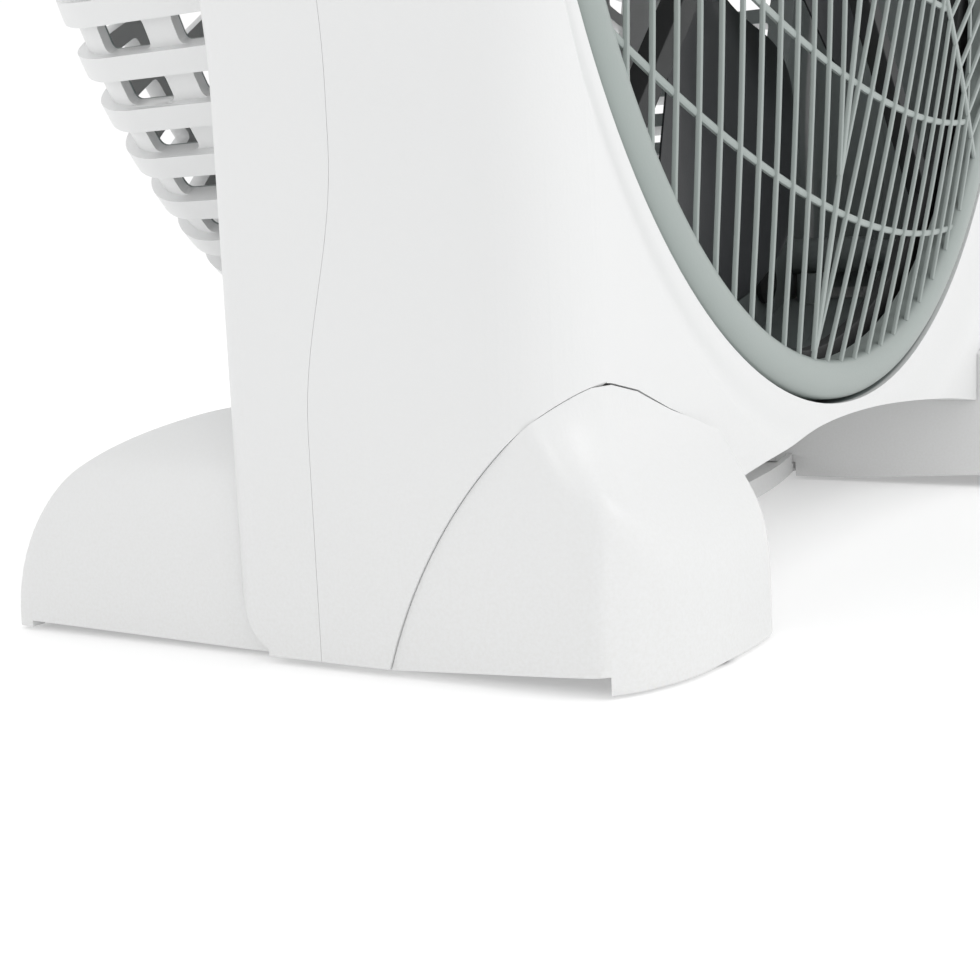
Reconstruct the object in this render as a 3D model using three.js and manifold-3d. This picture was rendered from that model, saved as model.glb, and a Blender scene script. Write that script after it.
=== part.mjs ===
// Box fan with a turning front grille, a slotted rear cage and two long feet.
// Millimetres. X runs to the right, Y runs from front to back, Z runs up.
// The floor is Z = 0 and the origin is the middle of the footprint.
import * as THREE from "three";
import { mergeVertices } from "three/addons/utils/BufferGeometryUtils.js";
import Module from "manifold-3d";

const wasm = await Module();
wasm.setup();

// ---- driving sizes ----
const GAP = 0.3;              // clearance between touching pieces
const WALL = 2.5;             // wall of the moulded housing
const TAU = Math.PI * 2;

const BELLY_W = 174;          // half width at the axis
const TAPER = 14;             // how much narrower each side is near the floor
const WAIST_W = BELLY_W - TAPER;
const WAIST_Z = 110;          // where the sides start to widen
const ARCH_END = 27;          // underside of the housing next to the feet
const ARCH_MID = 34;          // underside of the housing in the middle
const RING_MARGIN = 14;       // from the grille ring to the side of the housing
const RING_R = BELLY_W - RING_MARGIN;
const AXIS_Z = ARCH_MID + RING_R + 4;
const SHELL_TOP = AXIS_Z + RING_R + 24;
const SHOULDER_R = 90;        // radius of the upper corners
const FACE_Y = -64;           // front face of the housing
const BACK_Y = 15;            // rear wall of the housing
const FRONT_EDGE_R = 16;      // rounding between the front face and the sides
const BACK_EDGE_R = 8;        // rounding at the rear edge
const SEAM_Y = -16.5;         // parting line between the shells, upper part
const SEAM_SWEEP = 8.5;       // how far the parting line moves back near the feet
const SEAM_LOW_Z = 46;
const SEAM_HIGH_Z = 100;
const SEAM_LAP = 2;           // the rear screw tubes end this far behind the parting line
const SKIRT_Z = 1.6;          // lower edge of the side skirts

const RING_BAND = 10;         // width of the grille ring's band
const RING_IN = RING_R - RING_BAND;
const RING_Y = FACE_Y + 4.6;  // front edge of the band at the outer radius
const RING_DEPTH = 8;
const RING_CLEAR = 1;         // gap between the ring and the housing
const DOME = 9;               // how far the middle of the grille stands forward
const SLAT_W = 1.5;
const SLAT_DEPTH = 4;
const BOSS_LENGTH = 7;        // bored boss behind the middle of the grille
const SLAT_FIRST = 14.5;      // distance of the first slat from the axis
const SLAT_COUNT = 14;        // in each half petal
const SLAT_PITCH = (RING_IN - SLAT_FIRST) / (SLAT_COUNT + 0.57);
const SLAT_LEAN = 12.7 * Math.PI / 180;  // angle between slats and spine
const SLAT_END = RING_IN + 0.8;          // the bars end inside the ring's band
const SPINE_W = 2.2;
const PETAL_EDGE_W = 2.6;
const PETALS = 3;
const SPINE_ANGLE = -100 * Math.PI / 180;
const HUB_R = 30;
const HUB_RIM = 3;            // width of the rim around the cap
const TIE_R = RING_R * 0.716; // where a tie crosses its spine
const TIE_ARC_R = RING_R * 2.81;
const TIE_W = 2.2;

const COLLAR_Y = FACE_Y + 16; // rear end of the collar around the ring
const CAGE_R = RING_R - 4;
const CAGE_BACK = 77;
const CAGE_EDGE_R = 18;
const CAGE_WALL = 2.4;
const CAGE_FLANGE = 4;        // width of the flange held by the rear wall
const CAGE_SLOTS = 78;
const CAGE_SLOT_W = 5.6;
const CAGE_TURN = -0.6 * Math.PI / 180;  // turns the row of slots a little
const HOOP_Y = 43.3;
const HOOP_W = 8;
const CAGE_HUB_R = 50;

const FOOT_OUT = WAIST_W - 3; // outer face of a foot, inside the skirt
const FOOT_W = 57;
const FOOT_IN = FOOT_OUT - FOOT_W;
const FOOT_H = 51;
const FOOT_MID_Y = 5;
const TOE_LEN = 85;           // from the middle of the foot to the tip of the toe
const HEEL_LEN = 75;
const TOE_Y = FOOT_MID_Y - TOE_LEN;
const HEEL_Y = FOOT_MID_Y + HEEL_LEN;
const FOOT_WALL = 3;
const FOOT_BASE = 0.8;        // feet stand this far above the floor on their pads
const STEP_FRONT = TOE_Y + 10;  // the underside is cut away between these two
const STEP_REAR = HEEL_Y - 5;
const STEP_FRONT_Z = 4.2;     // height of the cut at its front end
const STEP_MID_Z = 1.4;
const STEP_REAR_Z = 2.2;
const ARCH_LOW_Y = -24;       // the arch over the toe starts here on the skirt
const POCKET_Z = FOOT_H + 3;  // roof of the pocket over a foot

const MOTOR_R = 42;
const MOTOR_FRONT = 10;
const MOTOR_BACK = 66;
const SHAFT_R = 4;
const BLADE_R = CAGE_R - 16;
const BLADES = 5;
const BLADE_FRONT = -26;
const BLADE_HUB_R = 32;
const NUT_R = 11;
const BELL_T = 2.5;
const BELL_MEET = 38;
const BEARING_R = 9;
const BEARING_T = 5.7;
const BORE_R = SHAFT_R + GAP;
const COIL_FRONT = BELL_MEET - 15;
const COIL_BACK = BELL_MEET + 15;
const STACK_HALF = 11;        // half the length of the motor's iron
const STACK_R = 27;

const SCREW_R = 1.8;          // shank of every screw
const HEAD_R = 3.6;
const HEAD_H = 2.2;
const PILOT_R = SCREW_R + GAP;
const HOUSING_SCREW_L = 52;
const SPIDER_SCREW_L = 15;
const FOOT_SCREW_L = 20;
const BRIDGE_SCREW_L = 16;
const SINK = 4;               // depth of the screw heads below a rear face

const LOW_SCREW = [WAIST_W - 13, POCKET_Z + 18];
const HIGH_SCREW = [BELLY_W - 36, SHELL_TOP - 37];
const HOUSING_SCREWS = [LOW_SCREW, HIGH_SCREW].flatMap(([x, z]) => [[-x, z], [x, z]]);
const DIAGONALS = [45, 135, 225, 315].map((a) => a * Math.PI / 180);
const SPIDER_SCREW_R = RING_R + 9;
const MOTOR_SCREW_R = 33;
const FOOT_SCREW_X = FOOT_IN + 41;
const FOOT_SCREW_Y = [-24, 4];
const FOOT_SEAT_Z = POCKET_Z - 10;       // the foot screws' heads sit under this height
const BRIDGE_SCREW_X = FOOT_IN + 11;
const BRIDGE_Z0 = 2.8;
const BRIDGE_Z1 = 5.7;
const BRIDGE_RIM = 3;         // height of the rims above the plate
const BRIDGE_HALF = 21.6;     // half width of the bridge in the middle
const BRIDGE_WAIST = 12.6;    // how much narrower each edge is next to the feet
const BRIDGE_TAB = FOOT_IN + 20;  // outer end of the tabs under the feet
const BRIDGE_TAB_HALF = 9;
const PAD_X = FOOT_IN + 26;
const PAD_Y = [TOE_Y + 7, HEEL_Y - 9];
const PAD_R = 5.5;
const PAD_T = 2;
const PAD_PIN_R = 2.2;
const PAD_PIN_TOP = 7;
const DRIVE_R = 24;           // small motor that turns the grille
const DRIVE_FRONT = FACE_Y + 7;
const SPIDER_Y = COLLAR_Y + GAP;  // front of the spider's rim
const SPIDER_T = 4;
const SPIDER_ARM_W = 6;
const INLET_X = RING_R - 42;
const INLET_Z = 64;
const INLET_R = 5;
const PANEL_HALF = 70;
const PANEL_Y0 = FACE_Y + 17;
const PANEL_Y1 = PANEL_Y0 + 23.5;

const PANEL_TOP = SHELL_TOP + 1;
const PANEL_T = 2.5;
const PANEL_LOW = PANEL_TOP - PANEL_T;
const CONTROL_Y = PANEL_Y0 + 12;
const SPEED_X = 22 - PANEL_HALF;
const TIMER_X = 0;
const ROCKER_X = PANEL_HALF - 24;
const ROCKER_HALF = 7;
const ROCKER_HALF_Y = 4.5;
const KNOB_R = 11;
const KNOB_H = 13;
const STEM_R = 3;
const SWITCH_HALF = 11;
const SWITCH_DEPTH = 13;
const TIMER_HALF = 12;
const TIMER_DEPTH = 14;
const STEM_LOW = PANEL_TOP - 9;
const GRIP_HALF = 52;         // half the length of the carrying recess
const GRIP_Z0 = SHELL_TOP - 21;
const GRIP_Z1 = SHELL_TOP - 9.5;
const AXIS = [0, 0, AXIS_Z];

// ---- solid helpers ----
function solid(geometry) {
  const bare = geometry.index ? geometry.toNonIndexed() : geometry.clone();
  bare.deleteAttribute("normal");
  bare.deleteAttribute("uv");
  const merged = mergeVertices(bare, 1e-5);
  const mesh = new wasm.Mesh({
    numProp: 3,
    vertProperties: new Float32Array(merged.attributes.position.array),
    triVerts: new Uint32Array(merged.index.array),
  });
  return new wasm.Manifold(mesh);
}

function surface(body) {
  const mesh = body.simplify(0.02).getMesh();
  const geometry = new THREE.BufferGeometry();
  const array = new Float32Array(mesh.vertProperties);
  geometry.setAttribute("position", new THREE.BufferAttribute(array, 3));
  geometry.setIndex(new THREE.BufferAttribute(new Uint32Array(mesh.triVerts), 1));
  geometry.computeVertexNormals();
  return geometry;
}

const joined = (list) => list.reduce((a, b) => a.add(b));
const without = (body, list) => list.reduce((a, b) => a.subtract(b), body);

function shapeOf(points) {
  return new THREE.Shape(points.map(([x, y]) => new THREE.Vector2(x, y)));
}

function prismZ(points, z0, z1) {
  const g = new THREE.ExtrudeGeometry(shapeOf(points), { depth: z1 - z0, bevelEnabled: false });
  g.translate(0, 0, z0);
  return solid(g);
}

function prismY(points, y0, y1) {
  const g = new THREE.ExtrudeGeometry(shapeOf(points), { depth: y1 - y0, bevelEnabled: false });
  g.rotateX(Math.PI / 2);
  g.translate(0, y1, 0);
  return solid(g);
}

function prismX(points, x0, x1) {
  const g = new THREE.ExtrudeGeometry(shapeOf(points), { depth: x1 - x0, bevelEnabled: false });
  const turn = new THREE.Matrix4().makeBasis(
    new THREE.Vector3(0, 1, 0),
    new THREE.Vector3(0, 0, 1),
    new THREE.Vector3(1, 0, 0),
  );
  g.applyMatrix4(turn);
  g.translate(x0, 0, 0);
  return solid(g);
}

function block(x0, x1, y0, y1, z0, z1) {
  const g = new THREE.BoxGeometry(x1 - x0, y1 - y0, z1 - z0);
  g.translate((x0 + x1) / 2, (y0 + y1) / 2, (z0 + z1) / 2);
  return solid(g);
}

// A turned body about the Y direction, through x, z.
function turned(profile, segments, x = 0, z = AXIS_Z) {
  const points = profile.map(([r, y]) => new THREE.Vector2(r, y));
  const g = new THREE.LatheGeometry(points, segments);
  g.translate(x, 0, z);
  const body = solid(g);
  return body.volume() < 0 ? solid(flipped(g)) : body;
}

function flipped(g) {
  const bare = g.toNonIndexed();
  const p = bare.attributes.position.array;
  for (let i = 0; i < p.length; i += 9) {
    for (let k = 0; k < 3; k += 1) {
      const keep = p[i + 3 + k];
      p[i + 3 + k] = p[i + 6 + k];
      p[i + 6 + k] = keep;
    }
  }
  return bare;
}

// A turned body about an upright axis through x, y.
function upright(profile, segments, x, y) {
  const points = profile.map(([r, z]) => new THREE.Vector2(r, -z));
  const g = new THREE.LatheGeometry(points, segments);
  g.rotateX(-Math.PI / 2);
  g.translate(x, y, 0);
  const body = solid(g);
  return body.volume() < 0 ? solid(flipped(g)) : body;
}

const rod = (r, y0, y1, segments, x, z) => turned([[0, y0], [r, y0], [r, y1], [0, y1]], segments, x, z);
const post = (r, z0, z1, segments, x, y) => upright([[0, z0], [r, z0], [r, z1], [0, z1]], segments, x, y);
const tube = (ri, ro, y0, y1, segments) => turned(
  [[ri, y0], [ro, y0], [ro, y1], [ri, y1], [ri, y0]], segments,
);

function turnedRing(body, angle) {
  return body.translate([0, 0, -AXIS_Z]).rotate([0, -angle * 180 / Math.PI, 0])
    .translate([0, 0, AXIS_Z]);
}

// ---- materials ----
const paint = (color, roughness, metalness = 0) => new THREE.MeshStandardMaterial({
  color, roughness, metalness,
});
const whiteShell = paint(0xf0f1ef, 0.45);
const greyGrille = paint(0xa9b2af, 0.5);
const darkFan = paint(0x5b6462, 0.5);
const steel = paint(0xb9bcc0, 0.35, 1);
const motorPaint = paint(0x8b8f92, 0.4, 0.6);
const copper = paint(0xb06a3c, 0.4, 0.8);
const rubber = paint(0x2b2c2c, 0.9);
const darkPlastic = paint(0x3a3d3d, 0.6);

const group = new THREE.Group();

// Adds a named mesh; at is the point the piece is placed by.
function piece(name, body, material, at = [0, 0, 0]) {
  const geometry = surface(body.translate(at.map((v) => -v)));
  const mesh = new THREE.Mesh(geometry, material);
  mesh.name = name;
  mesh.position.set(...at);
  group.add(mesh);
  return mesh;
}

// ---- housing ----
function halfWidth(z) {
  if (z <= WAIST_Z) return WAIST_W;
  if (z >= AXIS_Z) return BELLY_W;
  const share = (z - WAIST_Z) / (AXIS_Z - WAIST_Z);
  return WAIST_W + (BELLY_W - WAIST_W) * (1 - Math.cos(Math.PI * share)) / 2;
}

// Outline of the housing in X and Z, moved inwards by inset.
function outline(inset) {
  const right = [[WAIST_W - inset, -30], [WAIST_W - inset, WAIST_Z]];
  const steps = 6;
  for (let i = 1; i <= steps; i += 1) {
    const z = WAIST_Z + (AXIS_Z - WAIST_Z) * i / steps;
    right.push([halfWidth(z) - inset, z]);
  }
  const turns = 6;
  for (let i = 0; i <= turns; i += 1) {
    const a = Math.PI / 2 * i / turns;
    const r = SHOULDER_R - inset;
    right.push([BELLY_W - SHOULDER_R + r * Math.cos(a), SHELL_TOP - SHOULDER_R + r * Math.sin(a)]);
  }
  const left = right.map(([x, z]) => [-x, z]).reverse();
  return right.concat(left);
}

// Housing block with rounded front and rear edges.
function roundedBlock(inset, y0, y1, radius) {
  const straight = y1 - y0 - 2 * radius;
  const g = new THREE.ExtrudeGeometry(shapeOf(outline(inset)), {
    depth: straight,
    bevelEnabled: true,
    bevelSize: radius,
    bevelThickness: radius,
    bevelOffset: -radius,
    bevelSegments: inset > 0 ? 2 : 4,
  });
  g.rotateX(Math.PI / 2);
  g.translate(0, y1 - radius, 0);
  return solid(g);
}

// Roof of the pocket over the right foot, from its inner side outwards.
function pocketRoof(lift) {
  const from = FOOT_IN;
  return [
    [from - 0.4 - lift, POCKET_Z - 10 + lift],
    [from + 8, POCKET_Z - 8 + lift],
    [from + 22, POCKET_Z - 3 + lift],
    [from + 33, POCKET_Z + lift],
    [from + 49, POCKET_Z + lift],
  ];
}

// Space under the housing: a pocket over each foot and a shallow arch between them.
function underside(lift) {
  const roof = pocketRoof(lift);
  const inner = roof[0][0];
  const side = WAIST_W - WALL + (lift > 0 ? 20 : 0);
  const right = [[inner, ARCH_END + lift], ...roof, [side, POCKET_Z + lift], [side, SKIRT_Z]];
  right.push([WAIST_W + 30, SKIRT_Z], [WAIST_W + 30, -40]);
  const arch = [];
  const steps = 8;
  for (let i = 0; i <= steps; i += 1) {
    const x = -inner + 2 * inner * i / steps;
    const share = x / inner;
    arch.push([x, lift + ARCH_MID - (ARCH_MID - ARCH_END) * share * share]);
  }
  const left = right.map(([x, z]) => [-x, z]).reverse();
  return prismY(left.slice(0, -1).concat(arch, right.slice(1)).reverse(), -120, 120);
}

// Parting line seen from the side.
function seamLine(shift) {
  const points = [];
  const steps = 6;
  for (let i = 0; i <= steps; i += 1) {
    const share = i / steps;
    const z = SEAM_LOW_Z + (SEAM_HIGH_Z - SEAM_LOW_Z) * share;
    points.push([SEAM_Y + SEAM_SWEEP * (1 + Math.cos(Math.PI * share)) / 2 + shift, z]);
  }
  return points;
}

function seamSide(front) {
  const shift = front ? -GAP / 2 : GAP / 2;
  const line = seamLine(shift);
  const far = front ? -150 : 150;
  const low = [SEAM_Y + SEAM_SWEEP + shift, -40];
  const high = [SEAM_Y + shift, SHELL_TOP + 60];
  const points = [[far, -40], low, ...line, high, [far, SHELL_TOP + 60]];
  return prismX(front ? points : points.reverse(), -220, 220);
}

// Cutter for both side skirts, drawn in Y and Z.
function skirtOnly(points) {
  const from = WAIST_W - 11;
  return prismX(points, from, 220).add(prismX(points, -220, -from));
}

// Arch in the side of the front shell over the toe.
function toeArch() {
  const top = POCKET_Z + 1;
  const bulge = 5.7;
  const start = new THREE.Vector2(ARCH_LOW_Y, SKIRT_Z - 0.2);
  const end = new THREE.Vector2(FACE_Y, top);
  const middle = start.clone().add(end).multiplyScalar(0.5);
  const chord = end.clone().sub(start);
  const out = new THREE.Vector2(chord.y, -chord.x).normalize().multiplyScalar(2 * bulge);
  const curve = new THREE.QuadraticBezierCurve(start, middle.add(out), end);
  const points = curve.getPoints(6).map((p) => [p.x, p.y]);
  return skirtOnly([[ARCH_LOW_Y, -40], ...points, [-120, top], [-120, -40]]);
}

// Rounded lower rear corner of the skirt beside the heel.
function heelCorner() {
  const curve = new THREE.QuadraticBezierCurve(
    new THREE.Vector2(5, 3),
    new THREE.Vector2(13, 7),
    new THREE.Vector2(17, 26),
  );
  const points = curve.getPoints(5).map((p) => [p.x, p.y]);
  return skirtOnly([[5, -40], [40, -40], [40, 26], ...points.reverse()]);
}

function ringPoint(radius, angle) {
  return [radius * Math.cos(angle), AXIS_Z + radius * Math.sin(angle)];
}

// Adds a post with a pilot hole, along Y, to a shell.
function withBoss(body, radius, y0, y1, x, z) {
  return body.add(rod(radius, y0, y1, 8, x, z)).subtract(rod(PILOT_R, y0 + 5, y1 + 20, 8, x, z));
}

// Adds the posts above a pair of foot screws.
function withFootPosts(body, y) {
  const low = POCKET_Z + 0.5;
  let out = body;
  for (const x of [-FOOT_SCREW_X, FOOT_SCREW_X]) {
    out = out.add(post(5, low, low + 11.5, 8, x, y));
    out = out.subtract(post(PILOT_R, 40, low + 9.5, 8, x, y));
  }
  return out;
}

function frontShell() {
  const side = seamSide(true);
  const inset = FRONT_EDGE_R - WALL;
  const ringRoom = RING_R + RING_CLEAR;
  const outer = roundedBlock(0, FACE_Y, 60, FRONT_EDGE_R).intersect(side).subtract(underside(0));
  const inner = roundedBlock(WALL, FACE_Y + WALL, 80, inset).subtract(underside(WALL));
  const opening = rod(ringRoom, FACE_Y - 30, 0, 56);
  const collar = tube(ringRoom, ringRoom + WALL, FACE_Y + 1.5, COLLAR_Y, 56);
  let body = outer.subtract(inner).subtract(opening).add(collar);
  const skin = FACE_Y + WALL / 2;
  for (const [x, z] of HOUSING_SCREWS) {
    body = withBoss(body, 4.5, skin, SEAM_Y + SEAM_LAP - GAP, x, z);
  }
  for (const a of DIAGONALS) {
    const [x, z] = ringPoint(SPIDER_SCREW_R, a);
    body = withBoss(body, 4, skin, COLLAR_Y, x, z);
  }
  body = withFootPosts(body, FOOT_SCREW_Y[0]).subtract(toeArch());
  const half = PANEL_HALF;
  const seatZ = PANEL_LOW - GAP;
  const seat = block(-half - GAP, half + GAP, PANEL_Y0 - GAP, PANEL_Y1 + GAP, seatZ, PANEL_TOP + 40);
  const well = block(4 - half, half - 4, PANEL_Y0 + 3, PANEL_Y1 - 3, seatZ - 10, PANEL_TOP + 40);
  const tray = block(-half - 3, half + 3, PANEL_Y0 - 3, PANEL_Y1 + 2.6, seatZ - 2, PANEL_TOP - 2);
  return body.add(tray).subtract(seat).subtract(well);
}

function rearShell() {
  const side = seamSide(false);
  const outer = roundedBlock(0, -90, BACK_Y, BACK_EDGE_R).intersect(side).subtract(underside(0));
  const inner = roundedBlock(WALL, -110, BACK_Y - WALL, BACK_EDGE_R - WALL).subtract(underside(WALL));
  const opening = rod(CAGE_R + 0.7, -60, 60, 60);
  let body = outer.subtract(inner).subtract(opening);
  const rim = WALL;
  const grip = block(
    -GRIP_HALF - rim, GRIP_HALF + rim, BACK_Y - 27, BACK_Y - 1, GRIP_Z0 - rim, GRIP_Z1 + rim,
  );
  const recess = block(-GRIP_HALF, GRIP_HALF, BACK_Y - 27 + rim, 60, GRIP_Z0, GRIP_Z1);
  body = body.add(grip).subtract(recess);
  for (const [x, z] of HOUSING_SCREWS) {
    body = body.add(rod(6, SEAM_Y + SEAM_LAP, BACK_Y - 1, 10, x, z));
    body = body.subtract(rod(PILOT_R, -60, 60, 8, x, z));
    body = body.subtract(rod(HEAD_R + GAP, BACK_Y - SINK, 60, 12, x, z));
  }
  body = withFootPosts(body, FOOT_SCREW_Y[1]);
  body = body.subtract(rod(INLET_R + GAP, 0, 60, 14, INLET_X, INLET_Z));
  return body.subtract(heelCorner());
}

// ---- rear cage ----
function rearCage() {
  const straight = CAGE_BACK - CAGE_EDGE_R;
  const corner = (r, turns) => {
    const points = [];
    for (let i = 0; i <= turns; i += 1) {
      const a = Math.PI / 2 * i / turns;
      points.push([CAGE_R - CAGE_EDGE_R + r * Math.cos(a), straight + r * Math.sin(a)]);
    }
    return points;
  };
  const flange = BACK_Y - WALL - GAP;
  const profile = [
    [CAGE_R + CAGE_FLANGE, flange - 2],
    [CAGE_R + CAGE_FLANGE, flange],
    [CAGE_R, flange],
    ...corner(CAGE_EDGE_R, 3),
    [0, CAGE_BACK],
    [0, CAGE_BACK - CAGE_WALL],
    ...corner(CAGE_EDGE_R - CAGE_WALL, 2).reverse(),
    [CAGE_R - CAGE_WALL, flange - 2],
    [CAGE_R + CAGE_FLANGE, flange - 2],
  ];
  const basket = turned(profile, CAGE_SLOTS);
  const cutters = [];
  const half = CAGE_SLOT_W / 2;
  const slotStart = BACK_Y + 4;
  for (let i = 0; i < CAGE_SLOTS; i += 1) {
    const angle = TAU * i / CAGE_SLOTS;
    const rows = [[slotStart, HOOP_Y - HOOP_W / 2], [HOOP_Y + HOOP_W / 2, straight - 0.5]];
    for (const [y0, y1] of rows) {
      cutters.push(turnedRing(block(CAGE_R - 8, CAGE_R + 6, y0, y1, AXIS_Z - half, AXIS_Z + half), angle));
    }
  }
  const faceSlots = CAGE_SLOTS / 2;
  for (let i = 0; i < faceSlots; i += 1) {
    const angle = TAU * i / faceSlots;
    const y0 = CAGE_BACK - 8;
    const y1 = CAGE_BACK + 6;
    const slot = block(CAGE_HUB_R + 4, CAGE_R - 20, y0, y1, AXIS_Z - half, AXIS_Z + half);
    cutters.push(turnedRing(slot, angle));
  }
  const cuts = wasm.Manifold.compose(cutters);
  let body = turnedRing(basket.subtract(cuts), CAGE_TURN);
  for (const angle of DIAGONALS) {
    const [x, z] = ringPoint(MOTOR_SCREW_R, angle);
    body = body.add(rod(6, MOTOR_BACK + GAP, CAGE_BACK - 1, 8, x, z));
    body = body.subtract(rod(PILOT_R, 40, 100, 8, x, z));
    body = body.subtract(rod(HEAD_R + GAP, CAGE_BACK - SINK, 100, 10, x, z));
  }
  return body;
}

// ---- front grille ----
function domeY(r) {
  return RING_Y - DOME * (1 - (r / RING_IN) ** 2);
}

// Straight bar from point a to point b, both in X and height above the axis.
function bar(a, b, width) {
  const length = Math.hypot(b[0] - a[0], b[1] - a[1]);
  const px = -(b[1] - a[1]) / length * width / 2;
  const pz = (b[0] - a[0]) / length * width / 2;
  return prismY([
    [a[0] + px, a[1] + pz], [a[0] - px, a[1] - pz], [b[0] - px, b[1] - pz], [b[0] + px, b[1] + pz],
  ], 0, SLAT_DEPTH);
}

function polar(radius, angle) {
  return [radius * Math.cos(angle), radius * Math.sin(angle)];
}

// Slats of one half petal. They run from the petal's edge out to the spine or the ring.
function halfPetal(spine, side) {
  const along = spine - side * SLAT_LEAN;
  const dir = [Math.cos(along), Math.sin(along)];
  const normal = [-side * Math.sin(along), side * Math.cos(along)];
  const opening = Math.PI / PETALS + SLAT_LEAN;
  const list = [];
  for (let i = 0; i < SLAT_COUNT; i += 1) {
    const off = SLAT_FIRST + SLAT_PITCH * i;
    const atEdge = off / Math.tan(opening);
    const atHub = off < HUB_R ? Math.sqrt(HUB_R * HUB_R - off * off) - 1 : 0;
    const atSpine = off / Math.tan(SLAT_LEAN) - 2;
    const atRing = Math.sqrt(SLAT_END * SLAT_END - off * off);
    const from = Math.max(atEdge, atHub);
    const to = Math.min(atSpine, atRing);
    const place = (t) => [off * normal[0] + t * dir[0], off * normal[1] + t * dir[1]];
    list.push(bar(place(from), place(to), SLAT_W));
  }
  return list;
}

// Curved tie across a petal that crosses its spine at radius.
function tie(spine, radius) {
  const away = TIE_ARC_R - radius;
  const toRing = Math.acos((TIE_ARC_R ** 2 + away ** 2 - SLAT_END ** 2) / (2 * TIE_ARC_R * away));
  const third = Math.PI / PETALS;
  const toEdge = third - Math.asin(away * Math.sin(third) / TIE_ARC_R);
  const span = Math.min(toRing, toEdge);
  const outer = [];
  const inner = [];
  const steps = 4;
  const place = (r, a) => {
    const x = r * Math.cos(a) - away;
    const z = r * Math.sin(a);
    return [
      x * Math.cos(spine) - z * Math.sin(spine),
      x * Math.sin(spine) + z * Math.cos(spine),
    ];
  };
  for (let i = 0; i <= steps; i += 1) {
    const a = -span + 2 * span * i / steps;
    outer.push(place(TIE_ARC_R + TIE_W / 2, a));
    inner.push(place(TIE_ARC_R - TIE_W / 2, a));
  }
  return prismY(outer.concat(inner.reverse()), 0, SLAT_DEPTH);
}

// Moves a flat pattern of bars onto the dome.
function domed(body) {
  const g = surface(body);
  const p = g.attributes.position;
  for (let i = 0; i < p.count; i += 1) {
    const r = Math.min(RING_IN, Math.hypot(p.getX(i), p.getZ(i)));
    p.setY(i, p.getY(i) + domeY(r));
    p.setZ(i, p.getZ(i) + AXIS_Z);
  }
  return solid(g);
}

function ringOf(ri, ro, y0, y1, segments) {
  return tube(ri, ro, y0, y1, segments).translate([0, 0, -AXIS_Z]);
}

function frontGrille() {
  const bars = [
    ringOf(RING_IN, RING_IN + 2, 0, SLAT_DEPTH, 60),
    ringOf(HUB_R - HUB_RIM, HUB_R, 0, SLAT_DEPTH, 24),
  ];
  for (let i = 0; i < PETALS; i += 1) {
    const spine = SPINE_ANGLE + TAU * i / PETALS;
    const edge = spine + Math.PI / PETALS;
    bars.push(bar(polar(HUB_R - 1, spine), polar(SLAT_END, spine), SPINE_W));
    bars.push(bar(polar(HUB_R - 1, edge), polar(SLAT_END, edge), PETAL_EDGE_W));
    bars.push(...halfPetal(spine, 1), ...halfPetal(spine, -1));
    bars.push(tie(spine, TIE_R));
  }
  const pattern = domed(wasm.Manifold.union(bars));
  const bandIn = RING_IN + 1;
  const ring = turned([
    [bandIn, RING_Y - 0.6],
    [bandIn + 3, RING_Y - 1.2],
    [RING_R - 2, RING_Y - 0.6],
    [RING_R, RING_Y + 1.2],
    [RING_R, RING_Y + RING_DEPTH],
    [bandIn, RING_Y + RING_DEPTH],
    [bandIn, RING_Y - 0.6],
  ], 60);
  const plate = domeY(0) + 2;
  const hub = turned([
    [BORE_R, plate],
    [HUB_R - 2, plate],
    [HUB_R - 2, plate + 2],
    [BORE_R + HUB_RIM, plate + 2],
    [BORE_R + HUB_RIM, plate + BOSS_LENGTH],
    [BORE_R, plate + BOSS_LENGTH],
    [BORE_R, plate],
  ], 24);
  return pattern.add(ring).add(hub);
}

function grilleCap() {
  const base = domeY(0) + 2 - GAP;
  const r = HUB_R - HUB_RIM - GAP;
  return turned([
    [0, base - 4.6], [r * 0.5, base - 4.1], [r * 0.85, base - 2.9], [r, base - 1.8], [r, base], [0, base],
  ], 24);
}

// ---- grille drive ----
function grilleMotor() {
  const back = SPIDER_Y + SPIDER_T - 1.5 - GAP;
  return turned([
    [0, DRIVE_FRONT], [6, DRIVE_FRONT], [6, DRIVE_FRONT + 1.5], [DRIVE_R - 1, DRIVE_FRONT + 1.5],
    [DRIVE_R, DRIVE_FRONT + 2.5], [DRIVE_R, back], [0, back],
  ], 16);
}

function grilleShaft() {
  return rod(SHAFT_R, domeY(0) + 2 + GAP, DRIVE_FRONT - GAP, 16, 0, AXIS_Z);
}

function frontSpider() {
  const rimIn = RING_IN - 2;
  const rimOut = RING_R + RING_CLEAR;
  const y0 = SPIDER_Y;
  const y1 = SPIDER_Y + SPIDER_T;
  const half = SPIDER_ARM_W / 2;
  const ear = 4.5;
  const cup = DRIVE_R + GAP;
  const parts = [tube(rimIn, rimOut, y0, y1, 32)];
  parts.push(turned([
    [0, y1 - 1.5], [cup, y1 - 1.5], [cup, y0 - 3], [cup + 2.2, y0 - 3], [cup + 2.2, y1 + 2], [0, y1 + 2],
  ], 16));
  for (const angle of DIAGONALS) {
    parts.push(turnedRing(block(cup + 1, rimIn + 2, y0, y1 + 2, AXIS_Z - half, AXIS_Z + half), angle));
    const [x, z] = ringPoint(SPIDER_SCREW_R, angle);
    const lug = block(rimOut - 2, SPIDER_SCREW_R, y0, y1 - 1, AXIS_Z - ear, AXIS_Z + ear);
    parts.push(turnedRing(lug, angle));
    parts.push(rod(ear, y0, y1 - 1, 10, x, z));
  }
  const holes = DIAGONALS.map((angle) => {
    const [x, z] = ringPoint(SPIDER_SCREW_R, angle);
    return rod(PILOT_R, y0 - 5, y1 + 5, 8, x, z);
  });
  return without(wasm.Manifold.union(parts), holes);
}

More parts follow.
